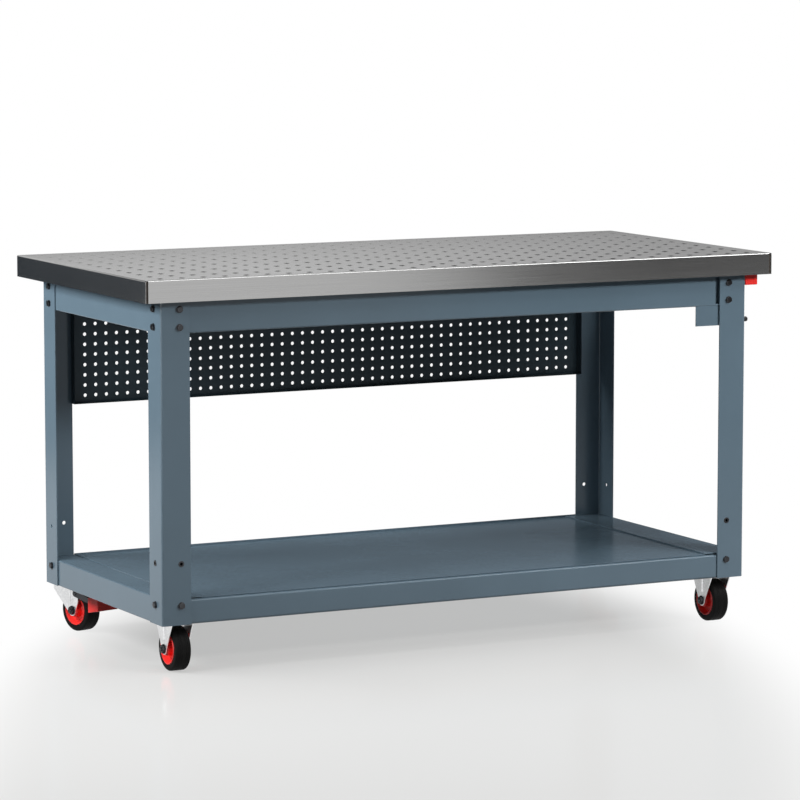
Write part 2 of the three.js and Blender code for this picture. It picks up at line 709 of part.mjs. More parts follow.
function swivelFork(name, parent) {
  const front = -SWIVEL_TRAIL - SHOULDER_FRONT;
  const outline = [
    [SHOULDER_REAR, shoulderTop], [SHOULDER_REAR, shoulderTop - SHOULDER_REAR_HEIGHT],
    ...arc([-SWIVEL_TRAIL, wheelRadius], FORK_FOOT, 315, 180, FOOT_STEPS),
    [front, wheelRadius + SHOULDER_FRONT], [front, shoulderTop],
  ];
  const cupRadius = SWIVEL_CUP_DIAMETER / 2;
  const boreRadius = cupRadius - FORK_WALL;
  const pinRadius = (KINGPIN_DIAMETER + RUNNING_FIT) / 2;
  const cupProfile = [
    [boreRadius, shoulderBottom], [cupRadius, shoulderBottom], [cupRadius, cupTop],
    [pinRadius, cupTop], [pinRadius, cupTop - FORK_WALL], [boreRadius, cupTop - FORK_WALL],
  ];
  const cup = turned([...cupProfile, cupProfile[0]], WHEEL_SIDES);
  const shoulder = box(-forkOuter, forkOuter, front, SHOULDER_REAR, shoulderBottom, shoulderTop);
  const mouth = rod('z', [0, 0, 0], 2 * boreRadius, WHEEL_SIDES, shoulderBottom - FIT, shoulderTop + FIT);
  const cheeks = forkCheeks(outline);
  const pivot = pedalPivot();
  const pinHole = rod('x', pivot, PEDAL_PIN + RUNNING_FIT, HOLE_SIDES, -forkOuter - FIT, forkOuter + FIT);
  const fork = cut(join(cut(shoulder, mouth), cup, ...cheeks), axleHoleCut(-SWIVEL_TRAIL), pinHole);
  addPart(`castor_fork_${name}`, fork, ZINC, parent);
}

function kingpin(name, parent) {
  const pin = KINGPIN_DIAMETER / 2;
  const nut = KINGPIN_NUT_DIAMETER / 2;
  const race = SWIVEL_RACE_DIAMETER / 2;
  const lowNutTop = cupTop - FORK_WALL - FIT;
  const topNutBottom = castorPlateTop + FIT;
  const profile = [
    [0, lowNutTop - KINGPIN_NUT_HEIGHT], [nut, lowNutTop - KINGPIN_NUT_HEIGHT], [nut, lowNutTop],
    [pin, lowNutTop], [pin, raceBottom], [race, raceBottom], [race, CASTOR_HEIGHT],
    [pin, CASTOR_HEIGHT], [pin, topNutBottom], [nut, topNutBottom],
    [nut, topNutBottom + KINGPIN_NUT_HEIGHT], [0, topNutBottom + KINGPIN_NUT_HEIGHT],
  ];
  addPart(`castor_kingpin_${name}`, turned(profile, TURNED_SIDES), DARK_ZINC, parent);
}

function pedalPivot() {
  return [0, -SWIVEL_TRAIL - PEDAL_PIVOT_REACH, PEDAL_PIVOT_HEIGHT];
}

// Brake pedal: two ears on the fork's cheeks and a hollow foot pad in front of the wheel
function brakePedal(name, parent) {
  const [, pivotY, pivotZ] = pedalPivot();
  const inner = forkOuter + FIT;
  const outer = inner + PEDAL_WALL;
  const padStart = -SWIVEL_TRAIL - PEDAL_PAD_START;
  const padEnd = padStart - PEDAL_PAD_LENGTH;
  const padLow = PEDAL_PAD_TOP - PEDAL_PAD_HEIGHT;
  const tipLow = PEDAL_PAD_TOP - PEDAL_TIP_HEIGHT;
  const padOutline = [
    [padStart, PEDAL_PAD_TOP], [padEnd, PEDAL_PAD_TOP], [padEnd, tipLow], [padStart, padLow],
  ];
  const earOutline = [
    ...arc([pivotY, pivotZ], PEDAL_EAR, -90, 90, FOOT_STEPS),
    [padStart - PEDAL_PAD_WALL, PEDAL_PAD_TOP], [padStart - PEDAL_PAD_WALL, PEDAL_PAD_TOP - 2 * PEDAL_EAR],
  ];
  const pocket = box(-inner, inner, padEnd + PEDAL_PAD_WALL, padStart - PEDAL_PAD_WALL,
    padLow - FIT, PEDAL_PAD_TOP - PEDAL_PAD_WALL);
  const ears = [-1, 1].flatMap((side) => [
    crossPrism(earOutline, ...span(side, inner, outer)),
    rod('x', [0, pivotY, pivotZ], PEDAL_PIN, PIN_SIDES, ...span(side, forkInner + FIT, outer - FIT)),
  ]);
  const pedal = join(cut(crossPrism(padOutline, -outer, outer), pocket), ...ears);
  addPart(`brake_pedal_${name}`, pedal, RED_PLASTIC, parent);
}

function swivelCastor(corner) {
  const [x, y] = castorCentre(corner);
  const post = new THREE.Group();
  post.position.set(x, y, 0);
  kingpin(corner.name, post);
  const swivel = new THREE.Group();
  const degrees = corner.sideX < 0 ? SWIVEL_REST_LEFT : SWIVEL_REST_RIGHT;
  swivel.rotation.z = THREE.MathUtils.degToRad(degrees);
  swivelFork(corner.name, swivel);
  brakePedal(corner.name, swivel);
  const trailing = new THREE.Group();
  trailing.position.set(0, -SWIVEL_TRAIL, 0);
  wheel(corner.name, trailing);
  swivel.add(trailing);
  post.add(swivel);
  table.add(post);
}

worktop();
legs();
aprons();
lowerRails();
shelf();
fasteners();
backPanel();
grabHandle();
accessoryBracket();
castorPlates();
for (const corner of CORNERS) {
  if (corner.sideY < 0) {
    fixedCastor(corner);
  } else {
    swivelCastor(corner);
  }
}

export default table;
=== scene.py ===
# Looks of the mobile assembly table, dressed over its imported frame. Metres, +Z up, front towards -Y.
import json
import math

import bmesh
import bpy
from mathutils import Matrix, Vector


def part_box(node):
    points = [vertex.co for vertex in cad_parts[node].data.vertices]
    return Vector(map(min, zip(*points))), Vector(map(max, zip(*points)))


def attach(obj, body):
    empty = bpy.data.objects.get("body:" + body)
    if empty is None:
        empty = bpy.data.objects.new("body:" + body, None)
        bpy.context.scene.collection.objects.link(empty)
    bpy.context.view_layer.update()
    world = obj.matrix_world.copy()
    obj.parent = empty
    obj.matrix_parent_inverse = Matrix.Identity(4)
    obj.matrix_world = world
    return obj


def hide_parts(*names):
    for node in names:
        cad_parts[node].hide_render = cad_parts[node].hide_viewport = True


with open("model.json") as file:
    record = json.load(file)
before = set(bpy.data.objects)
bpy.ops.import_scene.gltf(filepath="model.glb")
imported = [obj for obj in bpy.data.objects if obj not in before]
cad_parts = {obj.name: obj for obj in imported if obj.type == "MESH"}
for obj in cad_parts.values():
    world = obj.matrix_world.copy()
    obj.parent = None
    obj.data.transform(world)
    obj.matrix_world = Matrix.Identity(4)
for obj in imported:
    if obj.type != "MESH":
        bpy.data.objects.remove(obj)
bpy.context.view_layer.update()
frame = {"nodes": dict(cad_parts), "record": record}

MM = 0.001
MERGE = 0.01 * MM
FRONT_CORNERS = ("front_left", "front_right")
REAR_CORNERS = ("rear_left", "rear_right")
CORNERS = FRONT_CORNERS + REAR_CORNERS

# Worktop
SKIN_WALL = 2 * MM
SKIN_BEND = 3 * MM
SKIRT_GAP = 4 * MM
SKIRT_LAP = 2.5 * MM
DIMPLE_PITCH_X = 51.8 * MM
DIMPLE_PITCH_Y = 57 * MM
DIMPLE_COLUMNS = 30
DIMPLE_ROWS = 13
DIMPLE_RADIUS = 8 * MM
DIMPLE_HEIGHT = 1.4 * MM
DIMPLE_SIDES = 8
# Rings of a dimple, as shares of its radius and of its height
DIMPLE_RINGS = ((0.78, 0.45), (0.4, 0.88))

# Bent sheet of the frame
LEG_WALL = 3 * MM
LEG_BEND = 5 * MM
BEND_STEPS = 6
EDGE_STEPS = 3
SHEET_EDGE = 0.7 * MM
SHEET_LONG_EDGE = 12 * MM
SPARE_HOLE_RADIUS = 4.5 * MM
SPARE_HOLE_RISE = 137 * MM
DRILL_LENGTH = 20 * MM
INSERT_FLANGE = 7 * MM
INSERT_FLANGE_HEIGHT = 0.8 * MM
INSERT_BORE = 3.3 * MM
INSERT_BARREL = 4.3 * MM
INSERT_DEPTH = 9 * MM
INSERT_BASE = 1 * MM
FRONT_BOLT_INSET = 46 * MM
SIDE_BOLT_INSET = 38 * MM
ROUND_SIDES = 24
RAIL_BEND = 2.2 * MM
RAIL_BEND_STEPS = 4
LONG_EDGE = 300 * MM
RAIL_WALL = 2.5 * MM
CHANNEL_EDGE = 0.4 * MM
APRON_BEND = 4 * MM
APRON_TOP_FLANGE = 40 * MM
APRON_LOW_FLANGE = 25 * MM
FRONT_RAIL_BEND = 6 * MM
FRONT_RAIL_FLANGE = 40 * MM
FRONT_RAIL_LIP = 10 * MM
SHELF_SETBACK = 7 * MM
SHELF_STEP_EXTRA = 1 * MM
END_GROOVE = 10 * MM
END_GROOVE_DEPTH = 8 * MM
GROOVE_MARGIN = 5 * MM
GROOVE_FLOOR_MARGIN = 3 * MM
CUT_OVERSHOOT = 1 * MM

# Bolts
BOLT_HEAD_ACROSS = 13 * MM
BOLT_HEAD_HEIGHT = 5.5 * MM
WASHER_RADIUS = 8 * MM
WASHER_HEIGHT = 1.4 * MM
WASHER_SIDES = 32
HEAD_CHAMFER_SHARE = 0.09
APRON_BOLT_HEIGHTS = (771 * MM, 811 * MM)
RAIL_BOLT_HEIGHT = 154 * MM

# Back panel
PANEL_WALL = 2 * MM
PANEL_HOLE_RADIUS = 4.2 * MM
PANEL_COLUMNS = 49
PANEL_ROWS = 9
PANEL_PITCH_X = 27 * MM
PANEL_PITCH_Z = 24 * MM
PANEL_HOLE_SIDES = 16
PANEL_OVERLAP = 3 * MM
PANEL_BEND = 2 * MM

# Castors
AXLE_HEIGHT = 50 * MM
WHEEL_WIDTH = 38 * MM
WHEEL_HALF = WHEEL_WIDTH / 2
WHEEL_STEPS = 64
TYRE_RADIUS = 50 * MM
TYRE_SHOULDER = 6 * MM
TYRE_SHOULDER_END = 20
TYRE_BEAD_GAP = 0.3 * MM
TYRE_BEAD_DROP = 1 * MM
TYRE_BEAD_WIDTH = 2 * MM
TYRE_GROOVES = (10 * MM, 5 * MM)
TYRE_GROOVE_HALF = 0.7 * MM
TYRE_GROOVE_LIP = 0.2 * MM
TYRE_GROOVE_DEPTH = 0.9 * MM
RIM_RADIUS = 36 * MM
HUB_RADIUS = 15 * MM
HUB_REACH = 23.2 * MM
# Half of the rim's section from the bore outwards: radius, then distance from the wheel's middle
RIM_SECTION = (
    (9 * MM, HUB_REACH), (HUB_RADIUS - 1 * MM, HUB_REACH), (HUB_RADIUS, 22 * MM),
    (HUB_RADIUS + 1 * MM, 10 * MM), (HUB_RADIUS + 3 * MM, 8 * MM), (25 * MM, 7.5 * MM), (28 * MM, 9 * MM),
    (31.5 * MM, WHEEL_HALF - 3 * MM), (32.5 * MM, WHEEL_HALF - 0.4 * MM),
    (33.5 * MM, WHEEL_HALF + 0.6 * MM), (35 * MM, WHEEL_HALF + 0.6 * MM), (RIM_RADIUS, WHEEL_HALF - 0.6 * MM),
)
PIN_RADIUS = 5 * MM
PIN_CHAMFER_RISE = 1 * MM
PIN_CROWN_RISE = 1.2 * MM
AXLE_GAP = 0.1 * MM
AXLE_WASHER_RADIUS = 11 * MM
AXLE_WASHER_HEIGHT = 1.6 * MM
AXLE_NUT_ACROSS = 17 * MM
AXLE_NUT_HEIGHT = 5 * MM
AXLE_NUT_SEAT = 1.4 * MM
AXLE_END_SEAT = 6 * MM
AXLE_END_LENGTH = 2 * MM
AXLE_END_CHAMFER = 1 * MM
FORK_INNER = 24 * MM
FORK_OUTER = 27 * MM
FORK_TOP = 128 * MM
FORK_EDGE = 0.9 * MM
ROUND_END_STEPS = 12
RIB_ROOT = 1 * MM
FIXED_FORK_HALF = 42 * MM
FIXED_FORK_SHOULDER = 20 * MM
FIXED_FORK_FOOT = 13 * MM
FIXED_CROWN_WALL = 3 * MM
FIXED_CROWN_EDGE = 0.8 * MM
FIXED_RIB_HALF = 6 * MM
FIXED_RIB_HEIGHTS = (70 * MM, 124 * MM)
FIXED_RIB_PROUD = 3 * MM
FIXED_RIB_EDGE = 2 * MM
SWIVEL_TRAIL = 30 * MM
SWIVEL_TURN = {"rear_left": 15, "rear_right": -8}
SWIVEL_FORK_EDGE = 0.8 * MM
SWIVEL_LONG_EDGE = 6 * MM
SWIVEL_RIBS = (-22 * MM, -29 * MM)
SWIVEL_RIB_HALF = 1.5 * MM
SWIVEL_RIB_HEIGHTS = (64 * MM, 104 * MM)
SWIVEL_RIB_PROUD = 1.6 * MM
SWIVEL_RIB_EDGE = 1 * MM
CASTOR_INSET_SIDE = 53 * MM
CASTOR_INSET_FRONT = 54 * MM
CASTOR_INSET_REAR = 38 * MM

# Brake pedals
PEDAL_PIVOT_REACH = 14 * MM
PEDAL_PIVOT_HEIGHT = 92 * MM
PEDAL_EAR = 8 * MM
PEDAL_GAP = 0.3 * MM
PEDAL_WALL = 3 * MM
PEDAL_EDGE = 2 * MM
PEDAL_PAD_START = 64 * MM
PEDAL_PAD_LENGTH = 38 * MM
PEDAL_PAD_TOP = 90 * MM
PEDAL_PAD_LOW = 52 * MM
PEDAL_TIP_LOW = 60 * MM
PEDAL_PAD_WALL = 6 * MM
PEDAL_PIN_LENGTH = 1.2 * MM
PEDAL_PIN_CHAMFER = 1.4 * MM
PEDAL_TREADS = 5
TREAD_LEAD = 0.8
TREAD_SPARE = 0.6
TREAD_HALF = 1.2 * MM
TREAD_INSET = 4 * MM
TREAD_ROOT = 1 * MM
TREAD_RISE = 0.8 * MM
TREAD_EDGE = 0.5 * MM
STRAP_LAP = 4 * MM
STRAP_DROP = 3 * MM
STRAP_INSET = 0.4 * MM
STRAP_EDGE = 0.6 * MM

# Handle, bracket and knob
HANDLE_EDGE = 2 * MM
HANDLE_EDGE_STEPS = 4
BRACKET_LAP = 2 * MM
BRACKET_SETBACK = 1.5 * MM
KNOB_EXTRA = 5 * MM
KNOB_NECK = 4 * MM
KNOB_NECK_SHARE = 0.55
KNOB_GRIP_SHARE = 0.7
KNOB_CHAMFER = 1 * MM
KNOB_END_CHAMFER = 1.5 * MM
KNOB_FLUTES = 10
KNOB_FLUTE_STEPS = 4
KNOB_FLUTE_DEPTH = 0.7 * MM

# Stage
FLOOR_SIZE = 400
FLOOR_CENTRE = (-0.64, -1.25, 0)
FLOOR_REACH = (0.8, 2.2, 1)
FLOOR_FADE_START = 0.85
FLOOR_FADE_END = 1.25
FLOOR_LIFT = 0.58
FLOOR_NEAR = (0.84, 0.84, 0.8316, 1)
FLOOR_TONE = (0.69, 0.69, 0.685, 1)
FLOOR_BOUNCE = (0.09, 0.09, 0.09, 1)
FLOOR_ROUGHNESS = 0.14
WORLD_FILL = 0.05
FLAG_LOW = (0.83, -0.33, 0.3)
FLAG_HIGH = (0.831, 0.42, 0.8)
CAMERA_PLACE = (-4.2363, -8.2971, 1.6686)
CAMERA_PITCH = 6.9345
CAMERA_YAW = -27.1107
CAMERA_LENS = 179.705
CAMERA_SENSOR = 36
CAMERA_CLIP_END = 1000


# Mesh tools: each makes or shapes one solid in a bmesh of its own

def bevel(part, edges, width, segments=2):
    bmesh.ops.bevel(part, geom=list(edges), offset=width, offset_type="OFFSET", segments=segments,
                    profile=0.5, affect="EDGES", clamp_overlap=True, material=-1)


def sharp_edges(part, angle=35, shortest=0):
    limit = math.radians(angle)
    return [edge for edge in part.edges
            if len(edge.link_faces) == 2 and edge.calc_face_angle() > limit
            and edge.calc_length() > shortest]


def block(low, high, width=0, segments=2):
    """A box between two corners, with its edges rounded by width."""
    part = bmesh.new()
    bmesh.ops.create_cube(part, size=1)
    size = Vector(high) - Vector(low)
    bmesh.ops.scale(part, vec=[abs(side) for side in size], verts=part.verts)
    bmesh.ops.translate(part, vec=(Vector(high) + Vector(low)) / 2, verts=part.verts)
    if width:
        bevel(part, part.edges, width, segments)
    return part


def prism(outline, travel, width=0, segments=2):
    """A flat outline pushed along travel, with its sharp edges rounded by width."""
    part = bmesh.new()
    face = part.faces.new([part.verts.new(point) for point in outline])
    made = bmesh.ops.extrude_face_region(part, geom=[face])["geom"]
    moved = [item for item in made if isinstance(item, bmesh.types.BMVert)]
    bmesh.ops.translate(part, vec=travel, verts=moved)
    bmesh.ops.recalc_face_normals(part, faces=part.faces)
    if width:
        bevel(part, sharp_edges(part), width, segments)
    return part


def turned(profile, steps, closed=False):
    """A profile of radius and height points swept round the Z axis."""
    part = bmesh.new()
    verts = [part.verts.new((radius, 0, height)) for radius, height in profile]
    pairs = list(zip(verts, verts[1:]))
    if closed:
        pairs.append((verts[-1], verts[0]))
    edges = [part.edges.new(pair) for pair in pairs]
    bmesh.ops.spin(part, geom=verts + edges, cent=(0, 0, 0), axis=(0, 0, 1), angle=math.tau,
                   steps=steps, use_merge=True)
    bmesh.ops.remove_doubles(part, verts=part.verts, dist=MERGE)
    bmesh.ops.recalc_face_normals(part, faces=part.faces)
    return part


def arc(centre, radius, start, end, steps):
    """Points of an arc in a plane, from start to end in degrees."""
    turns = [math.radians(start + (end - start) * step / steps) for step in range(steps + 1)]
    return [(centre[0] + radius * math.cos(turn), centre[1] + radius * math.sin(turn)) for turn in turns]


def placed(parts, matrix):
    for part in parts:
        bmesh.ops.transform(part, matrix=matrix, verts=part.verts)
    return parts


def merged_copy(node):
    """A frame node's solid, with its triangles joined into flat faces."""
    part = bmesh.new()
    part.from_mesh(frame["nodes"][node].data)
    bmesh.ops.remove_doubles(part, verts=part.verts, dist=MERGE)
    bmesh.ops.dissolve_limit(part, angle_limit=math.radians(1), verts=part.verts, edges=part.edges)
    return part


def softened(node, width, segments=2, shortest=8 * MM):
    """A frame node's solid with its longer sharp edges rounded."""
    part = merged_copy(node)
    bevel(part, sharp_edges(part, shortest=shortest), width, segments)
    return part


def new_object(name, parts):
    mesh = bpy.data.meshes.new(name)
    whole = joined(parts)
    whole.to_mesh(mesh)
    whole.free()
    made = bpy.data.objects.new(name, mesh)
    bpy.context.scene.collection.objects.link(made)
    return made


def joined(parts):
    """One bmesh of several."""
    whole = bmesh.new()
    for part in parts:
        mesh = bpy.data.meshes.new("part")
        part.to_mesh(mesh)
        part.free()
        whole.from_mesh(mesh)
        bpy.data.meshes.remove(mesh)
    return whole


def cell_sheet(make_cell, counts, pitches, halves):
    """A flat sheet of equal cells in X and Y, with its border moved out to the half sizes."""
    cells = []
    for column in range(counts[0]):
        for row in range(counts[1]):
            spot = ((column - (counts[0] - 1) / 2) * pitches[0],
                    (row - (counts[1] - 1) / 2) * pitches[1], 0)
            cells += placed([make_cell(pitches)], Matrix.Translation(spot))
    part = joined(cells)
    bmesh.ops.remove_doubles(part, verts=part.verts, dist=MERGE)
    for axis in (0, 1):
        reach = counts[axis] * pitches[axis] / 2
        for vert in part.verts:
            if abs(abs(vert.co[axis]) - reach) < MERGE:
                vert.co[axis] = math.copysign(halves[axis], vert.co[axis])
    return part


def cell(pitches, radius, sides):
    """A flat rectangle round an open circle. Also gives the edges of the circle."""
    part = bmesh.new()
    bmesh.ops.create_circle(part, cap_ends=False, segments=sides, radius=radius)
    circle = part.edges[:]
    for vert in extruded(part, circle)[0]:
        reach = max(abs(vert.co.x), abs(vert.co.y))
        vert.co.x *= pitches[0] / 2 / reach
        vert.co.y *= pitches[1] / 2 / reach
    return part, circle


def extruded(part, edges):
    """Pulls new faces out of edges. Gives the new corners and the new far edges."""
    made = bmesh.ops.extrude_edge_only(part, edges=edges)["geom"]
    corners = [item for item in made if isinstance(item, bmesh.types.BMVert)]
    fresh = set(corners)
    far = [item for item in made if isinstance(item, bmesh.types.BMEdge) and set(item.verts) <= fresh]
    return corners, far


def border_edges(part, axis, place):
    """Open edges that lie on one border of a flat sheet."""
    return [edge for edge in part.edges
            if edge.is_boundary and all(abs(vert.co[axis] - place) < MERGE for vert in edge.verts)]


def face_towards(part, height_sign):
    """Turns a folded sheet so that its flat faces up or down."""
    bmesh.ops.recalc_face_normals(part, faces=part.faces)
    part.faces.ensure_lookup_table()
    if part.faces[0].normal.z * height_sign < 0:
        bmesh.ops.reverse_faces(part, faces=part.faces)


def sheet_wall(piece, thickness):
    """Gives a surface the thickness of its sheet, inwards."""
    wall = piece.modifiers.new("sheet wall", "SOLIDIFY")
    wall.thickness = thickness
    wall.offset = -1
    wall.use_even_offset = True
    piece.modifiers.move(len(piece.modifiers) - 1, 0)


def drilled(part, drills):
    """The part with the drills cut out of it."""
    target = new_object("drilled", [part])
    cutter = new_object("drills", drills)
    cut = target.modifiers.new("holes", "BOOLEAN")
    cut.operation = "DIFFERENCE"
    cut.solver = "EXACT"
    cut.object = cutter
    bpy.context.view_layer.update()
    seen = target.evaluated_get(bpy.context.evaluated_depsgraph_get())
    result = bmesh.new()
    result.from_mesh(seen.to_mesh())
    seen.to_mesh_clear()
    for made in (target, cutter):
        mesh = made.data
        bpy.data.objects.remove(made)
        bpy.data.meshes.remove(mesh)
    return result


def dressed(name, parts, slot, body, nodes=(), smooth=30):
    """A finished piece: its mesh, its finish, the body it rides on and the nodes that it stands for."""
    piece = new_object(name, parts)
    piece.data.materials.append(FINISHES[slot])
    piece.data.shade_smooth()
    piece.data.set_sharp_from_angle(angle=math.radians(smooth))
    even = piece.modifiers.new("even shading", "WEIGHTED_NORMAL")
    even.keep_sharp = True
    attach(piece, body)
    if nodes:
        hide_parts(*nodes)
    return piece


# Shader tools

class Field:
    """A shader socket that takes part in sums."""

    def __init__(self, finish, socket):
        self.finish = finish
        self.socket = socket

    def math(self, operation, first, second):
        return self.finish.node("ShaderNodeMath", {"operation": operation}, {0: first, 1: second})

    def __add__(self, other):
        return self.math("ADD", self, other)

    def __radd__(self, other):
        return self.math("ADD", other, self)

    def __sub__(self, other):
        return self.math("SUBTRACT", self, other)

    def __rsub__(self, other):
        return self.math("SUBTRACT", other, self)

    def __mul__(self, other):
        return self.math("MULTIPLY", self, other)

    def __rmul__(self, other):
        return self.math("MULTIPLY", other, self)


class Finish:
    """A node material, or the world, under construction."""

    def __init__(self, owner):
        owner.use_nodes = True
        self.owner = owner
        self.tree = owner.node_tree

    def node(self, kind, settings=None, inputs=None, output=0):
        made = self.tree.nodes.new(kind)
        for key, value in (settings or {}).items():
            if key == "stops":
                self.set_stops(made.color_ramp, value)
            else:
                setattr(made, key, value)
        for key, value in (inputs or {}).items():
            self.feed(made.inputs[key], value)
        return Field(self, made.outputs[output])

    @staticmethod
    def set_stops(ramp, stops):
        for index, (place, value) in enumerate(stops):
            stop = ramp.elements[index] if index < 2 else ramp.elements.new(place)
            stop.position = place
            stop.color = (value, value, value, 1)

    def feed(self, socket, value):
        if isinstance(value, Field):
            self.tree.links.new(value.socket, socket)
        else:
            socket.default_value = value

    def set(self, **values):
        shader = self.tree.nodes["Principled BSDF"]
        for key, value in values.items():
            self.feed(shader.inputs[key.replace("_", " ")], value)

    def place(self, scale=(1, 1, 1)):
        spot = self.node("ShaderNodeTexCoord", output="Object")
        return self.node("ShaderNodeMapping", {}, {"Vector": spot, "Scale": scale})

    def noise(self, scale, detail=2, stretch=(1, 1, 1), roughness=0.5):
        return self.node("ShaderNodeTexNoise", {}, {
            "Vector": self.place(stretch), "Scale": scale, "Detail": detail, "Roughness": roughness})

    def ramp(self, value, stops):
        return self.node("ShaderNodeValToRGB", {"stops": stops}, {"Fac": value})

    def mix(self, share, first, second):
        made = self.tree.nodes.new("ShaderNodeMix")
        made.data_type = "RGBA"
        self.feed(made.inputs[0], share)
        self.feed(made.inputs[6], first)
        self.feed(made.inputs[7], second)
        return Field(self, made.outputs[2])

    def bump(self, height, distance, strength=1):
        return self.node("ShaderNodeBump", {}, {
            "Height": height, "Distance": distance, "Strength": strength})

    def show(self, shader):
        self.tree.links.new(shader.socket, self.tree.nodes["Material Output"].inputs["Surface"])


def new_finish(name):
    return Finish(bpy.data.materials.new(name))


def shade(colour, level):
    return tuple(part * level for part in colour) + (1,)


def powder_coat(name, colour, roughness, speckle):
    """Sprayed paint: a fine orange-peel skin, slight clouds and a fine speckle."""
    paint = new_finish(name)
    clouds = paint.noise(4, detail=3)
    grain = paint.noise(1400, detail=1)
    peel = paint.noise(420, detail=2)
    tone = paint.ramp(clouds, [(0.3, 0), (0.7, 1)])
    base = paint.mix(tone, shade(colour, 0.94), shade(colour, 1.06))
    specks = paint.ramp(grain, [(0.35, 0), (0.65, 1)])
    paint.set(
        Base_Color=paint.mix(specks * speckle, base, shade(colour, 1.9)),
        Roughness=roughness + clouds * 0.06 + peel * 0.05,
        Specular_IOR_Level=0.3,
        Normal=paint.bump(peel * 0.7 + grain * 0.3, 0.06 * MM, 0.5),
    )
    return paint.owner


def brushed_steel(name):
    """Stainless sheet ground along its length: long fine scratches and faint bands."""
    steel = new_finish(name)
    scratches = steel.noise(1300, detail=3, stretch=(0.004, 1, 1), roughness=0.6)
    bands = steel.noise(200, detail=2, stretch=(0.005, 1, 1))
    clouds = steel.noise(5, detail=2)
    streak = steel.ramp(scratches, [(0.3, 0), (0.7, 1)])
    tone = steel.mix(streak, (0.38, 0.38, 0.377, 1), (0.45, 0.45, 0.447, 1))
    steel.set(
        Base_Color=steel.mix(bands * 0.5, tone, (0.42, 0.42, 0.417, 1)),
        Metallic=1.0,
        Specular_Tint=(0.75, 0.75, 0.75, 1),
        Roughness=0.2 + streak * 0.03 + clouds * 0.04,
        Normal=steel.bump(scratches, 0.01 * MM, 0.12),
    )
    return steel.owner


def zinc(name, colour, roughness):
    """Plated steel: cloudy crystals and fine handling marks."""
    plate = new_finish(name)
    crystals = plate.node("ShaderNodeTexVoronoi", {"feature": "F1"},
                          {"Vector": plate.place(), "Scale": 260}, output="Distance")
    clouds = plate.noise(60, detail=3)
    marks = plate.noise(700, detail=2, stretch=(1, 1, 0.15))
    tone = plate.ramp(clouds * 0.6 + crystals * 0.5, [(0.25, 0), (0.8, 1)])
    plate.set(
        Base_Color=plate.mix(tone, shade(colour, 0.82), shade(colour, 1.1)),
        Metallic=1.0,
        Roughness=roughness + clouds * 0.15 + marks * 0.06,
        Normal=plate.bump(marks, 0.02 * MM, 0.5),
    )
    return plate.owner


def moulding(name, colour, roughness):
    """Moulded plastic: a fine spark-eroded grain and slight flow clouds."""
    plastic = new_finish(name)
    flow = plastic.noise(30, detail=2)
    grain = plastic.noise(1100, detail=2)
    plastic.set(
        Base_Color=plastic.mix(flow, shade(colour, 0.88), shade(colour, 1.1)),
        Roughness=roughness + grain * 0.1,
        Specular_IOR_Level=0.3,
        Normal=plastic.bump(grain, 0.04 * MM, 0.5),
    )
    return plastic.owner


def rubber(name):
    """Black tyre rubber with a dusty bloom."""
    tyre = new_finish(name)
    dust = tyre.noise(45, detail=4)
    grain = tyre.noise(900, detail=2)
    bloom = tyre.ramp(dust, [(0.45, 0), (0.75, 1)])
    tyre.set(
        Base_Color=tyre.mix(bloom * 0.5, (0.004, 0.004, 0.004, 1), (0.013, 0.0125, 0.012, 1)),
        Roughness=0.55 + dust * 0.2,
        Specular_IOR_Level=0.1,
        Normal=tyre.bump(grain, 0.08 * MM, 0.6),
    )
    return tyre.owner


def film_board_and_seam_shade(name):
    """Board with a dark film face: a faint fibre pattern under a dull film. The film's dark colour is partly
    painted shade, so that the board shows black through the seams at the worktop's corners.
    """
    board = new_finish(name)
    fibres = board.noise(120, detail=3, stretch=(0.05, 1, 1))
    board.set(
        # Dark brown film colour, kept this dark partly as painted shade for the board seen through the
        # worktop's corner seams
        Base_Color=board.mix(fibres, (0.018, 0.013, 0.01, 1), (0.04, 0.03, 0.022, 1)),
        Roughness=0.5 + fibres * 0.2,
        Normal=board.bump(fibres, 0.05 * MM, 0.4),
    )
    return board.owner


PAINT = (0.112, 0.165, 0.208)
PANEL_PAINT = (0.015, 0.03, 0.041)
RED = (0.95, 0.042, 0.036)

FINISHES = {
    "stainless_skin": brushed_steel("brushed stainless"),
    "core_board": film_board_and_seam_shade("film-faced board and painted seam shade"),
    "frame_paint": powder_coat("blue-grey powder coat", PAINT, 0.15, 0.05),
    "panel_paint": powder_coat("dark powder coat", PANEL_PAINT, 0.42, 0.16),
    "dark_zinc": zinc("dull zinc", (0.055, 0.056, 0.06), 0.24),
    "bright_zinc": zinc("bright zinc", (0.78, 0.785, 0.79), 0.22),
    "red_plastic": moulding("red moulding", RED, 0.3),
    "black_plastic": moulding("black moulding", (0.012, 0.012, 0.012), 0.4),
    "tyre_rubber": rubber("tyre rubber"),
    "bush_plastic": moulding("natural bush", (0.62, 0.58, 0.5), 0.45),
}


# Every frame node takes the finish of its slot, also where a finer piece stands for it

def finish_frame_nodes():
    for row in frame["record"]["subparts"]:
        node = frame["nodes"][row["node"]]
        node.data.materials.clear()
        node.data.materials.append(FINISHES[row["material_slot"]])


# Worktop

def dimple_cell(pitches):
    """A cell of the top with a low dimple pressed up in it."""
    part, circle = cell(pitches, DIMPLE_RADIUS, DIMPLE_SIDES)
    for share, rise in DIMPLE_RINGS:
        corners, circle = extruded(part, circle)
        for vert in corners:
            flat = vert.co.to_2d().normalized() * DIMPLE_RADIUS * share
            vert.co = (*flat, DIMPLE_HEIGHT * rise)
    bmesh.ops.contextual_create(part, geom=circle)
    return part


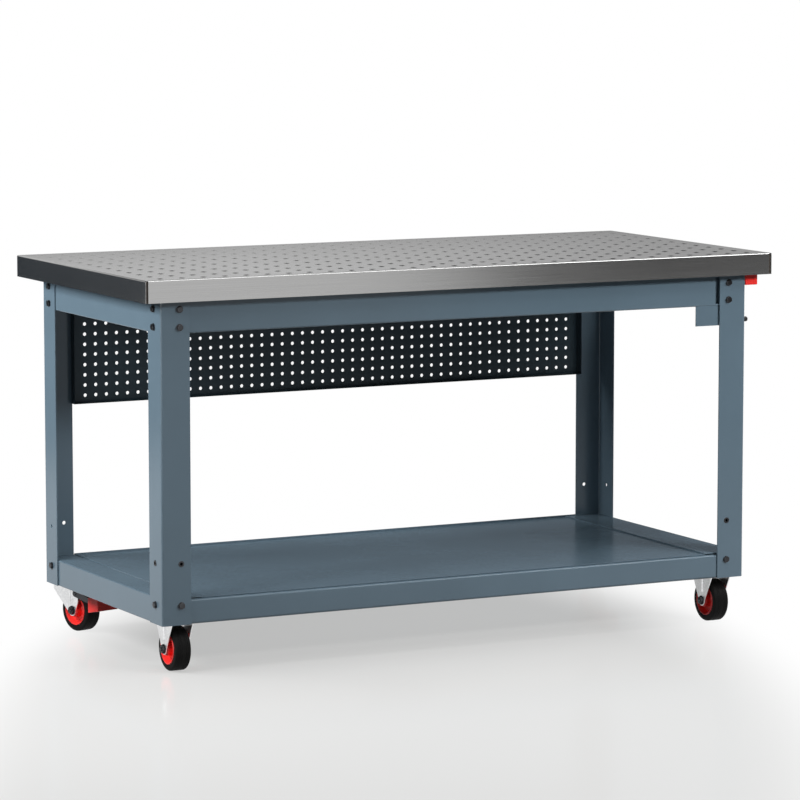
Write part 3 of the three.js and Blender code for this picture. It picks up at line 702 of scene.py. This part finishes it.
def worktop_skin():
    """One sheet: a dimpled top with four skirts. The side skirts lap the corners, the others stop short."""
    low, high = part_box("worktop_skin")
    half = [(high.x - low.x) / 2 - SKIN_BEND, (high.y - low.y) / 2 - SKIN_BEND]
    part = cell_sheet(dimple_cell, (DIMPLE_COLUMNS, DIMPLE_ROWS), (DIMPLE_PITCH_X, DIMPLE_PITCH_Y), half)
    bend = arc((0, -SKIN_BEND), SKIN_BEND, 90, 0, BEND_STEPS)
    path = bend + [(SKIN_BEND, low.z - high.z)]
    for axis, along, shift in ((0, 1, SKIRT_LAP), (1, 0, -SKIRT_GAP)):
        for side in (-1, 1):
            edges = border_edges(part, axis, side * half[axis])
            for out, height in path[1:]:
                corners, edges = extruded(part, edges)
                for vert in corners:
                    vert.co[axis] = side * (half[axis] + out)
                    vert.co.z = height
                    if abs(vert.co[along]) > half[along] - MERGE:
                        vert.co[along] = math.copysign(half[along] + shift, vert.co[along])
    face_towards(part, 1)
    place = Matrix.Translation(((low.x + high.x) / 2, (low.y + high.y) / 2, high.z))
    piece = dressed("worktop_sheet", placed([part], place), "stainless_skin", "frame", ["worktop_skin"])
    sheet_wall(piece, SKIN_WALL)


# Frame of bent sheet

def corner_signs(corner):
    """The outward signs of a corner along X and Y."""
    return (-1 if "left" in corner else 1), (-1 if "front" in corner else 1)


def outer_foot(corner):
    """The lowest point of a leg's outer edge."""
    low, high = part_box(f"leg_{corner}")
    side_x, side_y = corner_signs(corner)
    return Vector((high.x if side_x > 0 else low.x, high.y if side_y > 0 else low.y, low.z))


def bolt_spots(corner, height):
    """Where bolts meet the two faces of a leg at a height, each with the face's outward direction."""
    side_x, side_y = corner_signs(corner)
    outer = outer_foot(corner)
    return [((outer.x - side_x * FRONT_BOLT_INSET, outer.y, height), (0, side_y, 0)),
            ((outer.x, outer.y - side_y * SIDE_BOLT_INSET, height), (side_x, 0, 0))]


def leg(corner):
    """An angle of bent sheet with a spare hole in each face."""
    node = f"leg_{corner}"
    low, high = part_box(node)
    side_x, side_y = corner_signs(corner)
    outer = outer_foot(corner)
    width = high.x - low.x
    centre = (LEG_BEND, LEG_BEND)
    outline = [(width, 0), *arc(centre, LEG_BEND, 270, 180, BEND_STEPS), (0, width), (LEG_WALL, width),
               *arc(centre, LEG_BEND - LEG_WALL, 180, 270, BEND_STEPS), (width, LEG_WALL)]
    points = [outer + Vector((-side_x * along, -side_y * deep, 0)) for along, deep in outline]
    part = prism(points, (0, 0, high.z - low.z), SHEET_EDGE)
    drills = [rod(point, direction, SPARE_HOLE_RADIUS)
              for point, direction in bolt_spots(corner, low.z + SPARE_HOLE_RISE)]
    dressed(f"angle_{node}", [drilled(part, drills)], "frame_paint", "frame", [node])


def rod(point, direction, radius):
    """A plain rod through a point, along X or Y."""
    part = bmesh.new()
    bmesh.ops.create_cone(part, cap_ends=True, segments=ROUND_SIDES, radius1=radius, radius2=radius,
                          depth=DRILL_LENGTH)
    turn = Matrix.Rotation(math.pi / 2, 4, "Y" if direction[0] else "X")
    return placed([part], Matrix.Translation(point) @ turn)[0]


def folded(node, outward):
    """A rail's solid with its long outer edges bent round."""
    part = merged_copy(node)
    axis = max((0, 1), key=lambda index: abs(outward[index]))
    reach = max(vert.co[axis] * outward[axis] for vert in part.verts)
    folds = [edge for edge in sharp_edges(part, shortest=LONG_EDGE)
             if all(vert.co[axis] * outward[axis] > reach - MERGE for vert in edge.verts)]
    bevel(part, folds, RAIL_BEND, RAIL_BEND_STEPS)
    return part


def bent_channel(node, bend, top_flange, low_flange):
    """A front or rear rail along X: an upright web with flanges bent inwards at the top and the bottom."""
    low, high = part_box(node)
    face, inwards = (low.y, 1) if low.y < 0 else (high.y, -1)
    inner = bend - RAIL_WALL
    top_centre = (bend, high.z - bend)
    low_centre = (bend, low.z + bend)
    outline = [(low_flange, low.z), *arc(low_centre, bend, 270, 180, BEND_STEPS),
               *arc(top_centre, bend, 180, 90, BEND_STEPS), (top_flange, high.z),
               (top_flange, high.z - RAIL_WALL), *arc(top_centre, inner, 90, 180, BEND_STEPS),
               *arc(low_centre, inner, 180, 270, BEND_STEPS), (low_flange, low.z + RAIL_WALL)]
    points = [(low.x, face + inwards * depth, height) for depth, height in outline]
    return prism(points, (high.x - low.x, 0, 0), CHANNEL_EDGE)


def end_groove(part, node):
    """A deep groove across the web beside the right-hand leg, with its floor set back."""
    low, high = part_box(node)
    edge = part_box("leg_front_right")[0].x
    cutter = block((edge - END_GROOVE, low.y - CUT_OVERSHOOT, low.z + GROOVE_MARGIN),
                   (edge, low.y + RAIL_WALL + CUT_OVERSHOOT, high.z - GROOVE_MARGIN))
    depth = low.y + END_GROOVE_DEPTH
    back = block((edge - 2 * END_GROOVE, depth, low.z + GROOVE_FLOOR_MARGIN),
                 (edge + END_GROOVE, depth + RAIL_WALL, high.z - GROOVE_FLOOR_MARGIN))
    return [drilled(part, [cutter]), back]


def rails():
    for node in ("apron_left", "apron_right", "lower_rail_left", "lower_rail_right", "lower_rail_rear"):
        outward = {"left": (-1, 0), "right": (1, 0), "rear": (0, 1)}[node.rpartition("_")[2]]
        dressed(f"bent_{node}", [folded(node, outward)], "frame_paint", "frame", [node])
    for node in ("apron_front", "apron_rear"):
        parts = [bent_channel(node, APRON_BEND, APRON_TOP_FLANGE, APRON_LOW_FLANGE)]
        if node == "apron_front":
            parts = end_groove(parts[0], node)
        dressed(f"bent_{node}", parts, "frame_paint", "frame", [node])
    front = bent_channel("lower_rail_front", FRONT_RAIL_BEND, FRONT_RAIL_FLANGE, FRONT_RAIL_LIP)
    dressed("bent_lower_rail_front", [front], "frame_paint", "frame", ["lower_rail_front"])


def shelf():
    """A flat sheet with stepped-up ends. Its front edge lies behind the bend of the front rail."""
    low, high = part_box("shelf_panel")
    sheet = softened("shelf_panel", SHEET_EDGE, shortest=SHEET_LONG_EDGE)
    for vert in sheet.verts:
        if vert.co.y < low.y + SHELF_SETBACK:
            vert.co.y += SHELF_SETBACK
        if vert.co.z > high.z - 2 * SHEET_EDGE:
            vert.co.z += SHELF_STEP_EXTRA
    dressed("shelf_sheet", [sheet], "frame_paint", "frame", ["shelf_panel"])
    rib = softened("shelf_stiffener", SHEET_EDGE, shortest=SHEET_LONG_EDGE)
    dressed("shelf_rib", [rib], "frame_paint", "frame", ["shelf_stiffener"])


# Bolts with washers, and the corner angles that they screw into

def hex_head(across, height):
    """A hexagon head with its upper rim eased."""
    part = bmesh.new()
    radius = across / math.sqrt(3)
    bmesh.ops.create_cone(part, cap_ends=True, segments=6, radius1=radius, radius2=radius, depth=height)
    bmesh.ops.translate(part, vec=(0, 0, height / 2), verts=part.verts)
    rim = [edge for edge in part.edges if all(vert.co.z > height - MERGE for vert in edge.verts)]
    bevel(part, rim, across * HEAD_CHAMFER_SHARE)
    return part


def washer(radius, height):
    """A flat washer with its rims eased."""
    ease = height / 4
    return turned([(0, 0), (radius - ease, 0), (radius, ease), (radius, height - ease),
                   (radius - ease, height), (0, height)], WASHER_SIDES)


def facing(direction):
    """Turns +Z towards a direction."""
    return Vector((0, 0, 1)).rotation_difference(Vector(direction)).to_matrix().to_4x4()


def bolt_parts(point, direction):
    """A hexagon bolt head on its washer."""
    head = placed([hex_head(BOLT_HEAD_ACROSS, BOLT_HEAD_HEIGHT - WASHER_HEIGHT)],
                  Matrix.Translation((0, 0, WASHER_HEIGHT)))
    place = Matrix.Translation(point) @ facing(direction)
    return placed([washer(WASHER_RADIUS, WASHER_HEIGHT), *head], place)


def insert_parts(point, direction):
    """A blind threaded insert in a spare hole."""
    edge = INSERT_FLANGE_HEIGHT / 2
    base = -INSERT_DEPTH - INSERT_BASE
    profile = [(0, -INSERT_DEPTH), (INSERT_BORE, -INSERT_DEPTH), (INSERT_BORE, edge),
               (INSERT_BORE + edge, INSERT_FLANGE_HEIGHT), (INSERT_FLANGE - edge, INSERT_FLANGE_HEIGHT),
               (INSERT_FLANGE, edge), (INSERT_FLANGE, 0), (INSERT_BARREL, 0), (INSERT_BARREL, base),
               (0, base)]
    return placed([turned(profile, ROUND_SIDES)], Matrix.Translation(point) @ facing(direction))


def corner_bolts(corner, level, heights):
    """A corner's bolts with the plate that they screw into, and at the front feet the spare inserts."""
    node = f"{level}_bolts_{corner}"
    side_x, side_y = corner_signs(corner)
    outer = outer_foot(corner)
    plate = merged_copy(node)
    for outward in ((side_x, 0, 0), (0, side_y, 0)):
        whole = plate.verts[:] + plate.edges[:] + plate.faces[:]
        bmesh.ops.bisect_plane(plate, geom=whole, dist=MERGE, plane_co=outer, plane_no=outward,
                               clear_outer=True)
    parts = [plate]
    for height in heights:
        for point, direction in bolt_spots(corner, height):
            parts += bolt_parts(point, direction)
    if level == "lower" and corner in FRONT_CORNERS:
        for point, direction in bolt_spots(corner, outer.z + SPARE_HOLE_RISE):
            parts += insert_parts(point, direction)
    dressed(f"fixings_{level}_{corner}", parts, "dark_zinc", "frame", [node], smooth=40)


# Perforated back panel: one holed cell repeated, with its edges folded forwards into a shallow tray

def panel_cell(pitches):
    return cell(pitches, PANEL_HOLE_RADIUS, PANEL_HOLE_SIDES)[0]


def back_panel():
    low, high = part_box("back_panel")
    half = [(high.x - low.x) / 2 + PANEL_OVERLAP, (high.z - low.z) / 2]
    part = cell_sheet(panel_cell, (PANEL_COLUMNS, PANEL_ROWS), (PANEL_PITCH_X, PANEL_PITCH_Z), half)
    border = [edge for axis in (0, 1) for side in (-1, 1)
              for edge in border_edges(part, axis, side * half[axis])]
    bmesh.ops.translate(part, vec=(0, 0, high.y - low.y), verts=extruded(part, border)[0])
    bevel(part, [edge for edge in border if edge.is_valid], PANEL_BEND, EDGE_STEPS)
    face_towards(part, -1)
    upright = Matrix.Rotation(math.pi / 2, 4, "X")
    place = Matrix.Translation(((low.x + high.x) / 2, high.y, (low.z + high.z) / 2)) @ upright
    panel = dressed("perforated_panel", placed([part], place), "panel_paint", "frame", ["back_panel"])
    sheet_wall(panel, PANEL_WALL)


# Castors: made about the wheel's axle or the kingpin, then set in place

def castor_place(corner):
    """The place of a castor's plate centre, on the floor, turned as it stands."""
    side_x, side_y = corner_signs(corner)
    outer = outer_foot(corner)
    inset = CASTOR_INSET_FRONT if side_y < 0 else CASTOR_INSET_REAR
    turn = Matrix.Rotation(math.radians(SWIVEL_TURN.get(corner, 0)), 4, "Z")
    return Matrix.Translation((outer.x - side_x * CASTOR_INSET_SIDE, outer.y - side_y * inset, 0)) @ turn


def axle_place(corner):
    trail = -SWIVEL_TRAIL if corner in REAR_CORNERS else 0
    return castor_place(corner) @ Matrix.Translation((0, trail, AXLE_HEIGHT))


ALONG_X = Matrix.Rotation(math.pi / 2, 4, "Y")


def mirrored(section):
    """The other half of a wheel's section, from its outer end back."""
    return [(radius, -height) for radius, height in reversed(section)]


def tyre(corner):
    """A tyre with round shoulders and shallow grooves round its tread."""
    lip = TYRE_RADIUS - TYRE_GROOVE_LIP
    section = [(RIM_RADIUS + TYRE_BEAD_GAP, WHEEL_HALF - TYRE_BEAD_DROP),
               (RIM_RADIUS + TYRE_BEAD_WIDTH, WHEEL_HALF)]
    section += arc((TYRE_RADIUS - TYRE_SHOULDER, WHEEL_HALF - TYRE_SHOULDER), TYRE_SHOULDER, 90,
                   TYRE_SHOULDER_END, BEND_STEPS)
    for place in TYRE_GROOVES:
        section += [(lip, place + TYRE_GROOVE_HALF), (TYRE_RADIUS - TYRE_GROOVE_DEPTH, place),
                    (lip, place - TYRE_GROOVE_HALF)]
    profile = section + [(TYRE_RADIUS, 0)] + mirrored(section)
    parts = placed([turned(profile, WHEEL_STEPS, closed=True)], axle_place(corner) @ ALONG_X)
    dressed(f"tread_{corner}", parts, "tyre_rubber", f"wheel_{corner}", [f"tyre_{corner}"], smooth=35)


def rim(corner):
    profile = [*RIM_SECTION, *mirrored(RIM_SECTION)]
    parts = placed([turned(profile, WHEEL_STEPS, closed=True)], axle_place(corner) @ ALONG_X)
    dressed(f"rim_{corner}", parts, "red_plastic", f"wheel_{corner}", [f"wheel_rim_{corner}"], smooth=35)


def fork_cheek(outline, side):
    """A pressed cheek in Y and Z, on one side of the wheel."""
    inner = side * FORK_INNER
    points = [(inner, y, z) for y, z in outline]
    return prism(points, (side * (FORK_OUTER - FORK_INNER), 0, 0), FORK_EDGE)


def pin_end(length, chamfer):
    """The end of a pin above its seat: a straight stretch, a chamfer and a slight crown."""
    profile = [(0, 0), (PIN_RADIUS, 0), (PIN_RADIUS, length),
               (PIN_RADIUS - chamfer, length + PIN_CHAMFER_RISE), (0, length + PIN_CROWN_RISE)]
    return turned(profile, ROUND_SIDES)


def axle_bolt(corner):
    """An axle through the fork with a washer, a nut and a bolt end on each side."""
    body = "frame" if corner in FRONT_CORNERS else f"swivel_{corner}"
    parts = []
    for side in (-1, 1):
        seat = Matrix.Translation((side * (FORK_OUTER + AXLE_GAP), 0, 0))
        turn = Matrix.Rotation(side * math.pi / 2, 4, "Y")
        nut = placed([hex_head(AXLE_NUT_ACROSS, AXLE_NUT_HEIGHT)], Matrix.Translation((0, 0, AXLE_NUT_SEAT)))
        end = placed([pin_end(AXLE_END_LENGTH, AXLE_END_CHAMFER)], Matrix.Translation((0, 0, AXLE_END_SEAT)))
        parts += placed([washer(AXLE_WASHER_RADIUS, AXLE_WASHER_HEIGHT), *nut, *end], seat @ turn)
    shaft = turned([(0, -FORK_OUTER), (PIN_RADIUS, -FORK_OUTER), (PIN_RADIUS, FORK_OUTER), (0, FORK_OUTER)],
                   ROUND_SIDES)
    parts += placed([shaft], ALONG_X)
    dressed(f"axle_{corner}", placed(parts, axle_place(corner)), "dark_zinc", body, [f"axle_bolt_{corner}"],
            smooth=40)


def fork_rib(side, middle, half, heights, proud, width, segments=2):
    """An upright rib pressed out of a cheek."""
    return block((side * (FORK_OUTER - RIB_ROOT), middle - half, heights[0]),
                 (side * (FORK_OUTER + proud), middle + half, heights[1]), width, segments)


def fixed_fork(corner):
    """Two tapered cheeks under a flat crown, each with a wide rib."""
    half = FIXED_FORK_HALF
    shoulder = FORK_TOP - FIXED_FORK_SHOULDER
    foot = arc((0, AXLE_HEIGHT), FIXED_FORK_FOOT, 180, 360, ROUND_END_STEPS)
    outline = [(-half, FORK_TOP), (-half, shoulder), *foot, (half, shoulder), (half, FORK_TOP)]
    parts = [fork_cheek(outline, -1), fork_cheek(outline, 1)]
    parts.append(block((-FORK_OUTER, -half, FORK_TOP - FIXED_CROWN_WALL), (FORK_OUTER, half, FORK_TOP),
                       FIXED_CROWN_EDGE))
    for side in (-1, 1):
        parts.append(fork_rib(side, 0, FIXED_RIB_HALF, FIXED_RIB_HEIGHTS, FIXED_RIB_PROUD, FIXED_RIB_EDGE,
                              EDGE_STEPS))
    dressed(f"fork_{corner}", placed(parts, castor_place(corner)), "bright_zinc", "frame",
            [f"castor_fork_{corner}"])


def swivel_fork(corner):
    """The swivel fork's solid with its edges eased and two narrow ribs on each cheek."""
    parts = [softened(f"castor_fork_{corner}", SWIVEL_FORK_EDGE, shortest=SWIVEL_LONG_EDGE)]
    ribs = []
    for side in (-1, 1):
        for middle in SWIVEL_RIBS:
            ribs.append(fork_rib(side, middle, SWIVEL_RIB_HALF, SWIVEL_RIB_HEIGHTS, SWIVEL_RIB_PROUD,
                                 SWIVEL_RIB_EDGE))
    parts += placed(ribs, castor_place(corner))
    dressed(f"fork_{corner}", parts, "bright_zinc", f"swivel_{corner}", [f"castor_fork_{corner}"])


def pedal_pad(corner):
    """A red foot pad, hollow underneath, with treads across its top. Made about the kingpin."""
    start = -SWIVEL_TRAIL - PEDAL_PAD_START
    end = start - PEDAL_PAD_LENGTH
    inner = FORK_OUTER + PEDAL_GAP
    outer = inner + PEDAL_WALL
    outline = [(start, PEDAL_PAD_LOW), (start, PEDAL_PAD_TOP), (end, PEDAL_PAD_TOP), (end, PEDAL_TIP_LOW)]
    solid = prism([(-outer, y, z) for y, z in outline], (2 * outer, 0, 0), PEDAL_EDGE, EDGE_STEPS)
    hollow = block((-inner, end + PEDAL_PAD_WALL, 0),
                   (inner, start - PEDAL_PAD_WALL, PEDAL_PAD_TOP - PEDAL_PAD_WALL))
    parts = [drilled(solid, [hollow])]
    pitch = PEDAL_PAD_LENGTH / (PEDAL_TREADS + TREAD_SPARE)
    for tread in range(PEDAL_TREADS):
        y = end + (tread + TREAD_LEAD) * pitch
        parts.append(block((-outer + TREAD_INSET, y - TREAD_HALF, PEDAL_PAD_TOP - TREAD_ROOT),
                           (outer - TREAD_INSET, y + TREAD_HALF, PEDAL_PAD_TOP + TREAD_RISE), TREAD_EDGE))
    dressed(f"pedal_pad_{corner}", placed(parts, castor_place(corner)), "red_plastic", f"brake_{corner}",
            [f"brake_pedal_{corner}"])


def pedal_straps(corner):
    """Two dark straps from the pedal's pivot pins to its pad, made about the kingpin."""
    pivot = -SWIVEL_TRAIL - PEDAL_PIVOT_REACH
    end = -SWIVEL_TRAIL - PEDAL_PAD_START - STRAP_LAP
    inner = FORK_OUTER + PEDAL_GAP
    wall = PEDAL_WALL - STRAP_INSET
    ear = arc((pivot, PEDAL_PIVOT_HEIGHT), PEDAL_EAR, -90, 90, ROUND_END_STEPS)
    outline = ear + [(end, PEDAL_PAD_TOP - STRAP_DROP), (end, PEDAL_PAD_TOP - 2 * PEDAL_EAR)]
    parts = []
    for side in (-1, 1):
        points = [(side * inner, y, z) for y, z in outline]
        parts.append(prism(points, (side * wall, 0, 0), STRAP_EDGE))
        seat = Matrix.Translation((side * (inner + wall), pivot, PEDAL_PIVOT_HEIGHT))
        turn = Matrix.Rotation(side * math.pi / 2, 4, "Y")
        parts += placed([pin_end(PEDAL_PIN_LENGTH, PEDAL_PIN_CHAMFER)], seat @ turn)
    dressed(f"pedal_straps_{corner}", placed(parts, castor_place(corner)), "dark_zinc", f"brake_{corner}")


def castors():
    for corner in CORNERS:
        tyre(corner)
        rim(corner)
        axle_bolt(corner)
    for corner in FRONT_CORNERS:
        fixed_fork(corner)
    for corner in REAR_CORNERS:
        swivel_fork(corner)
        pedal_pad(corner)
        pedal_straps(corner)


# Grab handle, accessory bracket and knob

def right_end_pieces():
    """The handle, the bracket, which laps up behind the apron, and the knob."""
    handle = softened("grab_handle", HANDLE_EDGE, HANDLE_EDGE_STEPS)
    dressed("handle_bar", [handle], "red_plastic", "frame", ["grab_handle"])
    bracket = softened("accessory_bracket", SHEET_EDGE, shortest=SHEET_LONG_EDGE)
    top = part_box("accessory_bracket")[1].z
    for vert in bracket.verts:
        vert.co.y += BRACKET_SETBACK
        if vert.co.z > top - BRACKET_LAP:
            vert.co.z += BRACKET_LAP
    dressed("bracket_plate", [bracket], "frame_paint", "frame", ["accessory_bracket"])
    knob()


def knob():
    """Fluted knob on the right face of the leg."""
    low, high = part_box("clamp_knob")
    radius = (high.z - low.z) / 2
    neck = radius * KNOB_NECK_SHARE
    length = high.x - low.x + KNOB_EXTRA
    profile = [(0, 0), (neck, 0), (neck, KNOB_NECK), (radius - KNOB_CHAMFER, KNOB_NECK),
               (radius, KNOB_NECK + KNOB_CHAMFER), (radius, length - KNOB_END_CHAMFER),
               (radius - KNOB_END_CHAMFER, length), (0, length)]
    part = turned(profile, KNOB_FLUTES * KNOB_FLUTE_STEPS)
    for vert in part.verts:
        turn = math.atan2(vert.co.y, vert.co.x)
        if vert.co.to_2d().length > radius * KNOB_GRIP_SHARE:
            easing = 1 - KNOB_FLUTE_DEPTH / radius * (0.5 - 0.5 * math.cos(KNOB_FLUTES * turn))
            vert.co.x *= easing
            vert.co.y *= easing
    place = Matrix.Translation((low.x, (low.y + high.y) / 2, (low.z + high.z) / 2)) @ ALONG_X
    dressed("fluted_knob", placed([part], place), "black_plastic", "clamp_knob", ["clamp_knob"], smooth=40)


# Stage: floor, light, camera

def floor():
    """Pale glossy floor that fades to white away from the object for the rays that show it."""
    part = bmesh.new()
    bmesh.ops.create_grid(part, x_segments=1, y_segments=1, size=FLOOR_SIZE / 2)
    made = new_object("floor", [part])
    paper = new_finish("studio floor")
    paper.set(Base_Color=paper.mix(seen_rays(paper), FLOOR_BOUNCE, FLOOR_TONE), Roughness=FLOOR_ROUGHNESS)
    spot = paper.node("ShaderNodeTexCoord", output="Object")
    offset = paper.node("ShaderNodeMapping", {"vector_type": "TEXTURE"}, {
        "Vector": spot, "Location": FLOOR_CENTRE, "Rotation": (0, 0, math.radians(CAMERA_YAW)),
        "Scale": FLOOR_REACH})
    distance = paper.node("ShaderNodeVectorMath", {"operation": "LENGTH"}, {0: offset}, output="Value")
    fade = paper.node("ShaderNodeMapRange", {"interpolation_type": "SMOOTHSTEP"},
                      {"Value": distance, "From Min": FLOOR_FADE_START, "From Max": FLOOR_FADE_END})
    white = paper.node("ShaderNodeEmission", {}, {
        "Color": paper.mix(fade, FLOOR_NEAR, (1, 1, 1, 1)), "Strength": 1.0})
    shader = Field(paper, paper.tree.nodes["Principled BSDF"].outputs[0])
    share = (FLOOR_LIFT + fade * (1 - FLOOR_LIFT)) * seen_rays(paper)
    paper.show(paper.node("ShaderNodeMixShader", {}, {0: share, 1: shader, 2: white}))
    made.data.materials.append(paper.owner)


def seen_rays(finish):
    """One for rays that show the background: from the camera, off gloss and through glass."""
    seen, glossy, clear = [finish.node("ShaderNodeLightPath", output=name)
                           for name in ("Is Camera Ray", "Is Glossy Ray", "Is Transmission Ray")]
    return seen.math("MAXIMUM", seen, glossy.math("MAXIMUM", glossy, clear))


def surroundings():
    """White for the rays that show the background, and a dim fill for the others."""
    world = bpy.data.worlds.new("studio")
    bpy.context.scene.world = world
    sky = Finish(world)
    strength = WORLD_FILL + seen_rays(sky) * (1 - WORLD_FILL)
    background = sky.tree.nodes["Background"]
    background.inputs["Color"].default_value = (1, 1, 1, 1)
    sky.feed(background.inputs["Strength"], strength)


def hide(made, rays):
    """Makes an object or a lamp unseen by some kinds of rays."""
    for ray in rays:
        setattr(made, f"visible_{ray}", False)


def softbox(name, place, target, size, power, hidden=()):
    """A rectangular lamp aimed at a target, unseen by the camera and by the rays that hidden names."""
    data = bpy.data.lights.new(name, "AREA")
    data.shape = "RECTANGLE"
    data.size, data.size_y = size
    data.energy = power
    lamp = bpy.data.objects.new(name, data)
    lamp.location = place
    lamp.rotation_euler = (Vector(target) - Vector(place)).to_track_quat("-Z", "Y").to_euler()
    bpy.context.scene.collection.objects.link(lamp)
    hide(lamp, ("camera", *hidden))


def lights():
    """Each lamp with its place, target, size and power. The strips only show as glints along edges."""
    softbox("left softbox", (-2.2, 0.1, 1.4), (-0.75, 0, 0.55), (2.0, 0.6), 52, ["glossy"])
    softbox("overhead softbox", (0, 0.3, 4.4), (0, 0, 0), (5, 4), 170, ["glossy"])
    softbox("front softbox", (2.2, -2.1, 2.7), (0.6, -0.34, 0.5), (1.6, 0.9), 30)
    softbox("front fill", (2.0, -3.2, 1.95), (0.4, -0.34, 0.5), (1.6, 0.4), 90, ["glossy"])
    softbox("edge strip", (-4.2, -2.6, 1.3), (-0.7, -0.3, 0.5), (1.0, 2.4), 70, ["diffuse"])
    softbox("top edge strip", (0.5, -2.2, 3.2), (0, -0.36, 0.8), (5, 1.1), 66, ["diffuse"])


def flag():
    """A board, itself unseen, that keeps the front lamps off the rear right leg."""
    made = new_object("flag", [block(FLAG_LOW, FLAG_HIGH)])
    hide(made, ("camera", "diffuse", "glossy", "transmission", "volume_scatter"))


def card(name, middle, size, levels, sides, tint=(1, 1, 1)):
    """An upright studio card that only shows in reflections. Its glow goes by height and along it."""
    part = bmesh.new()
    bmesh.ops.create_grid(part, x_segments=1, y_segments=1, size=0.5)
    bmesh.ops.scale(part, vec=(size[0], size[1], 1), verts=part.verts)
    upright = Matrix.Rotation(math.pi / 2, 3, "X")
    bmesh.ops.rotate(part, cent=(0, 0, 0), matrix=upright, verts=part.verts)
    bmesh.ops.translate(part, vec=middle, verts=part.verts)
    made = new_object(name, [part])
    paper = new_finish(name)
    spot = paper.node("ShaderNodeTexCoord", output="Object")
    along = paper.node("ShaderNodeSeparateXYZ", {}, {0: spot}, output="X")
    height = paper.node("ShaderNodeSeparateXYZ", {}, {0: spot}, output="Z")
    across = (along - middle[0]) * (1 / size[0]) + 0.5
    up = (height - middle[2]) * (1 / size[1]) + 0.5
    glow = paper.ramp(up, levels) * paper.ramp(across, sides)
    paper.show(paper.node("ShaderNodeEmission", {}, {"Color": (*tint, 1), "Strength": glow}))
    made.data.materials.append(paper.owner)
    hide(made, ("camera", "diffuse", "shadow", "transmission", "volume_scatter"))


def cards():
    card("far card", (1.0, 3.0, 1.0), (13, 2), [(0, 0.15), (1, 0.2)], [(0.48, 0.45), (0.6, 1)],
         tint=(0.85, 1.02, 1.2))
    card("near card", (0.6, 1.0, 2.39), (6, 3),
         [(0, 0.45), (0.017, 0.52), (0.037, 0.74), (0.057, 1.2), (0.137, 1.2), (0.177, 0.1), (1, 0.06)],
         [(0.42, 1), (0.64, 0.66)])
    card("front card", (3.9, -2.6, 1.5), (5.4, 3), [(0, 0.09), (1, 0.12)], [(0.06, 1), (0.16, 1.4)])


def camera():
    data = bpy.data.cameras.new("camera")
    data.sensor_width = CAMERA_SENSOR
    data.lens = CAMERA_LENS
    data.clip_end = CAMERA_CLIP_END
    made = bpy.data.objects.new("camera", data)
    made.location = CAMERA_PLACE
    made.rotation_euler = (math.radians(90 - CAMERA_PITCH), 0, math.radians(CAMERA_YAW))
    bpy.context.scene.collection.objects.link(made)
    bpy.context.scene.camera = made


finish_frame_nodes()
worktop_skin()
for corner in CORNERS:
    leg(corner)
    corner_bolts(corner, "upper", APRON_BOLT_HEIGHTS)
    corner_bolts(corner, "lower", (RAIL_BOLT_HEIGHT,))
rails()
shelf()
back_panel()
castors()
right_end_pieces()
floor()
surroundings()
lights()
flag()
cards()
camera()
bpy.context.scene.view_settings.view_transform = "Standard"
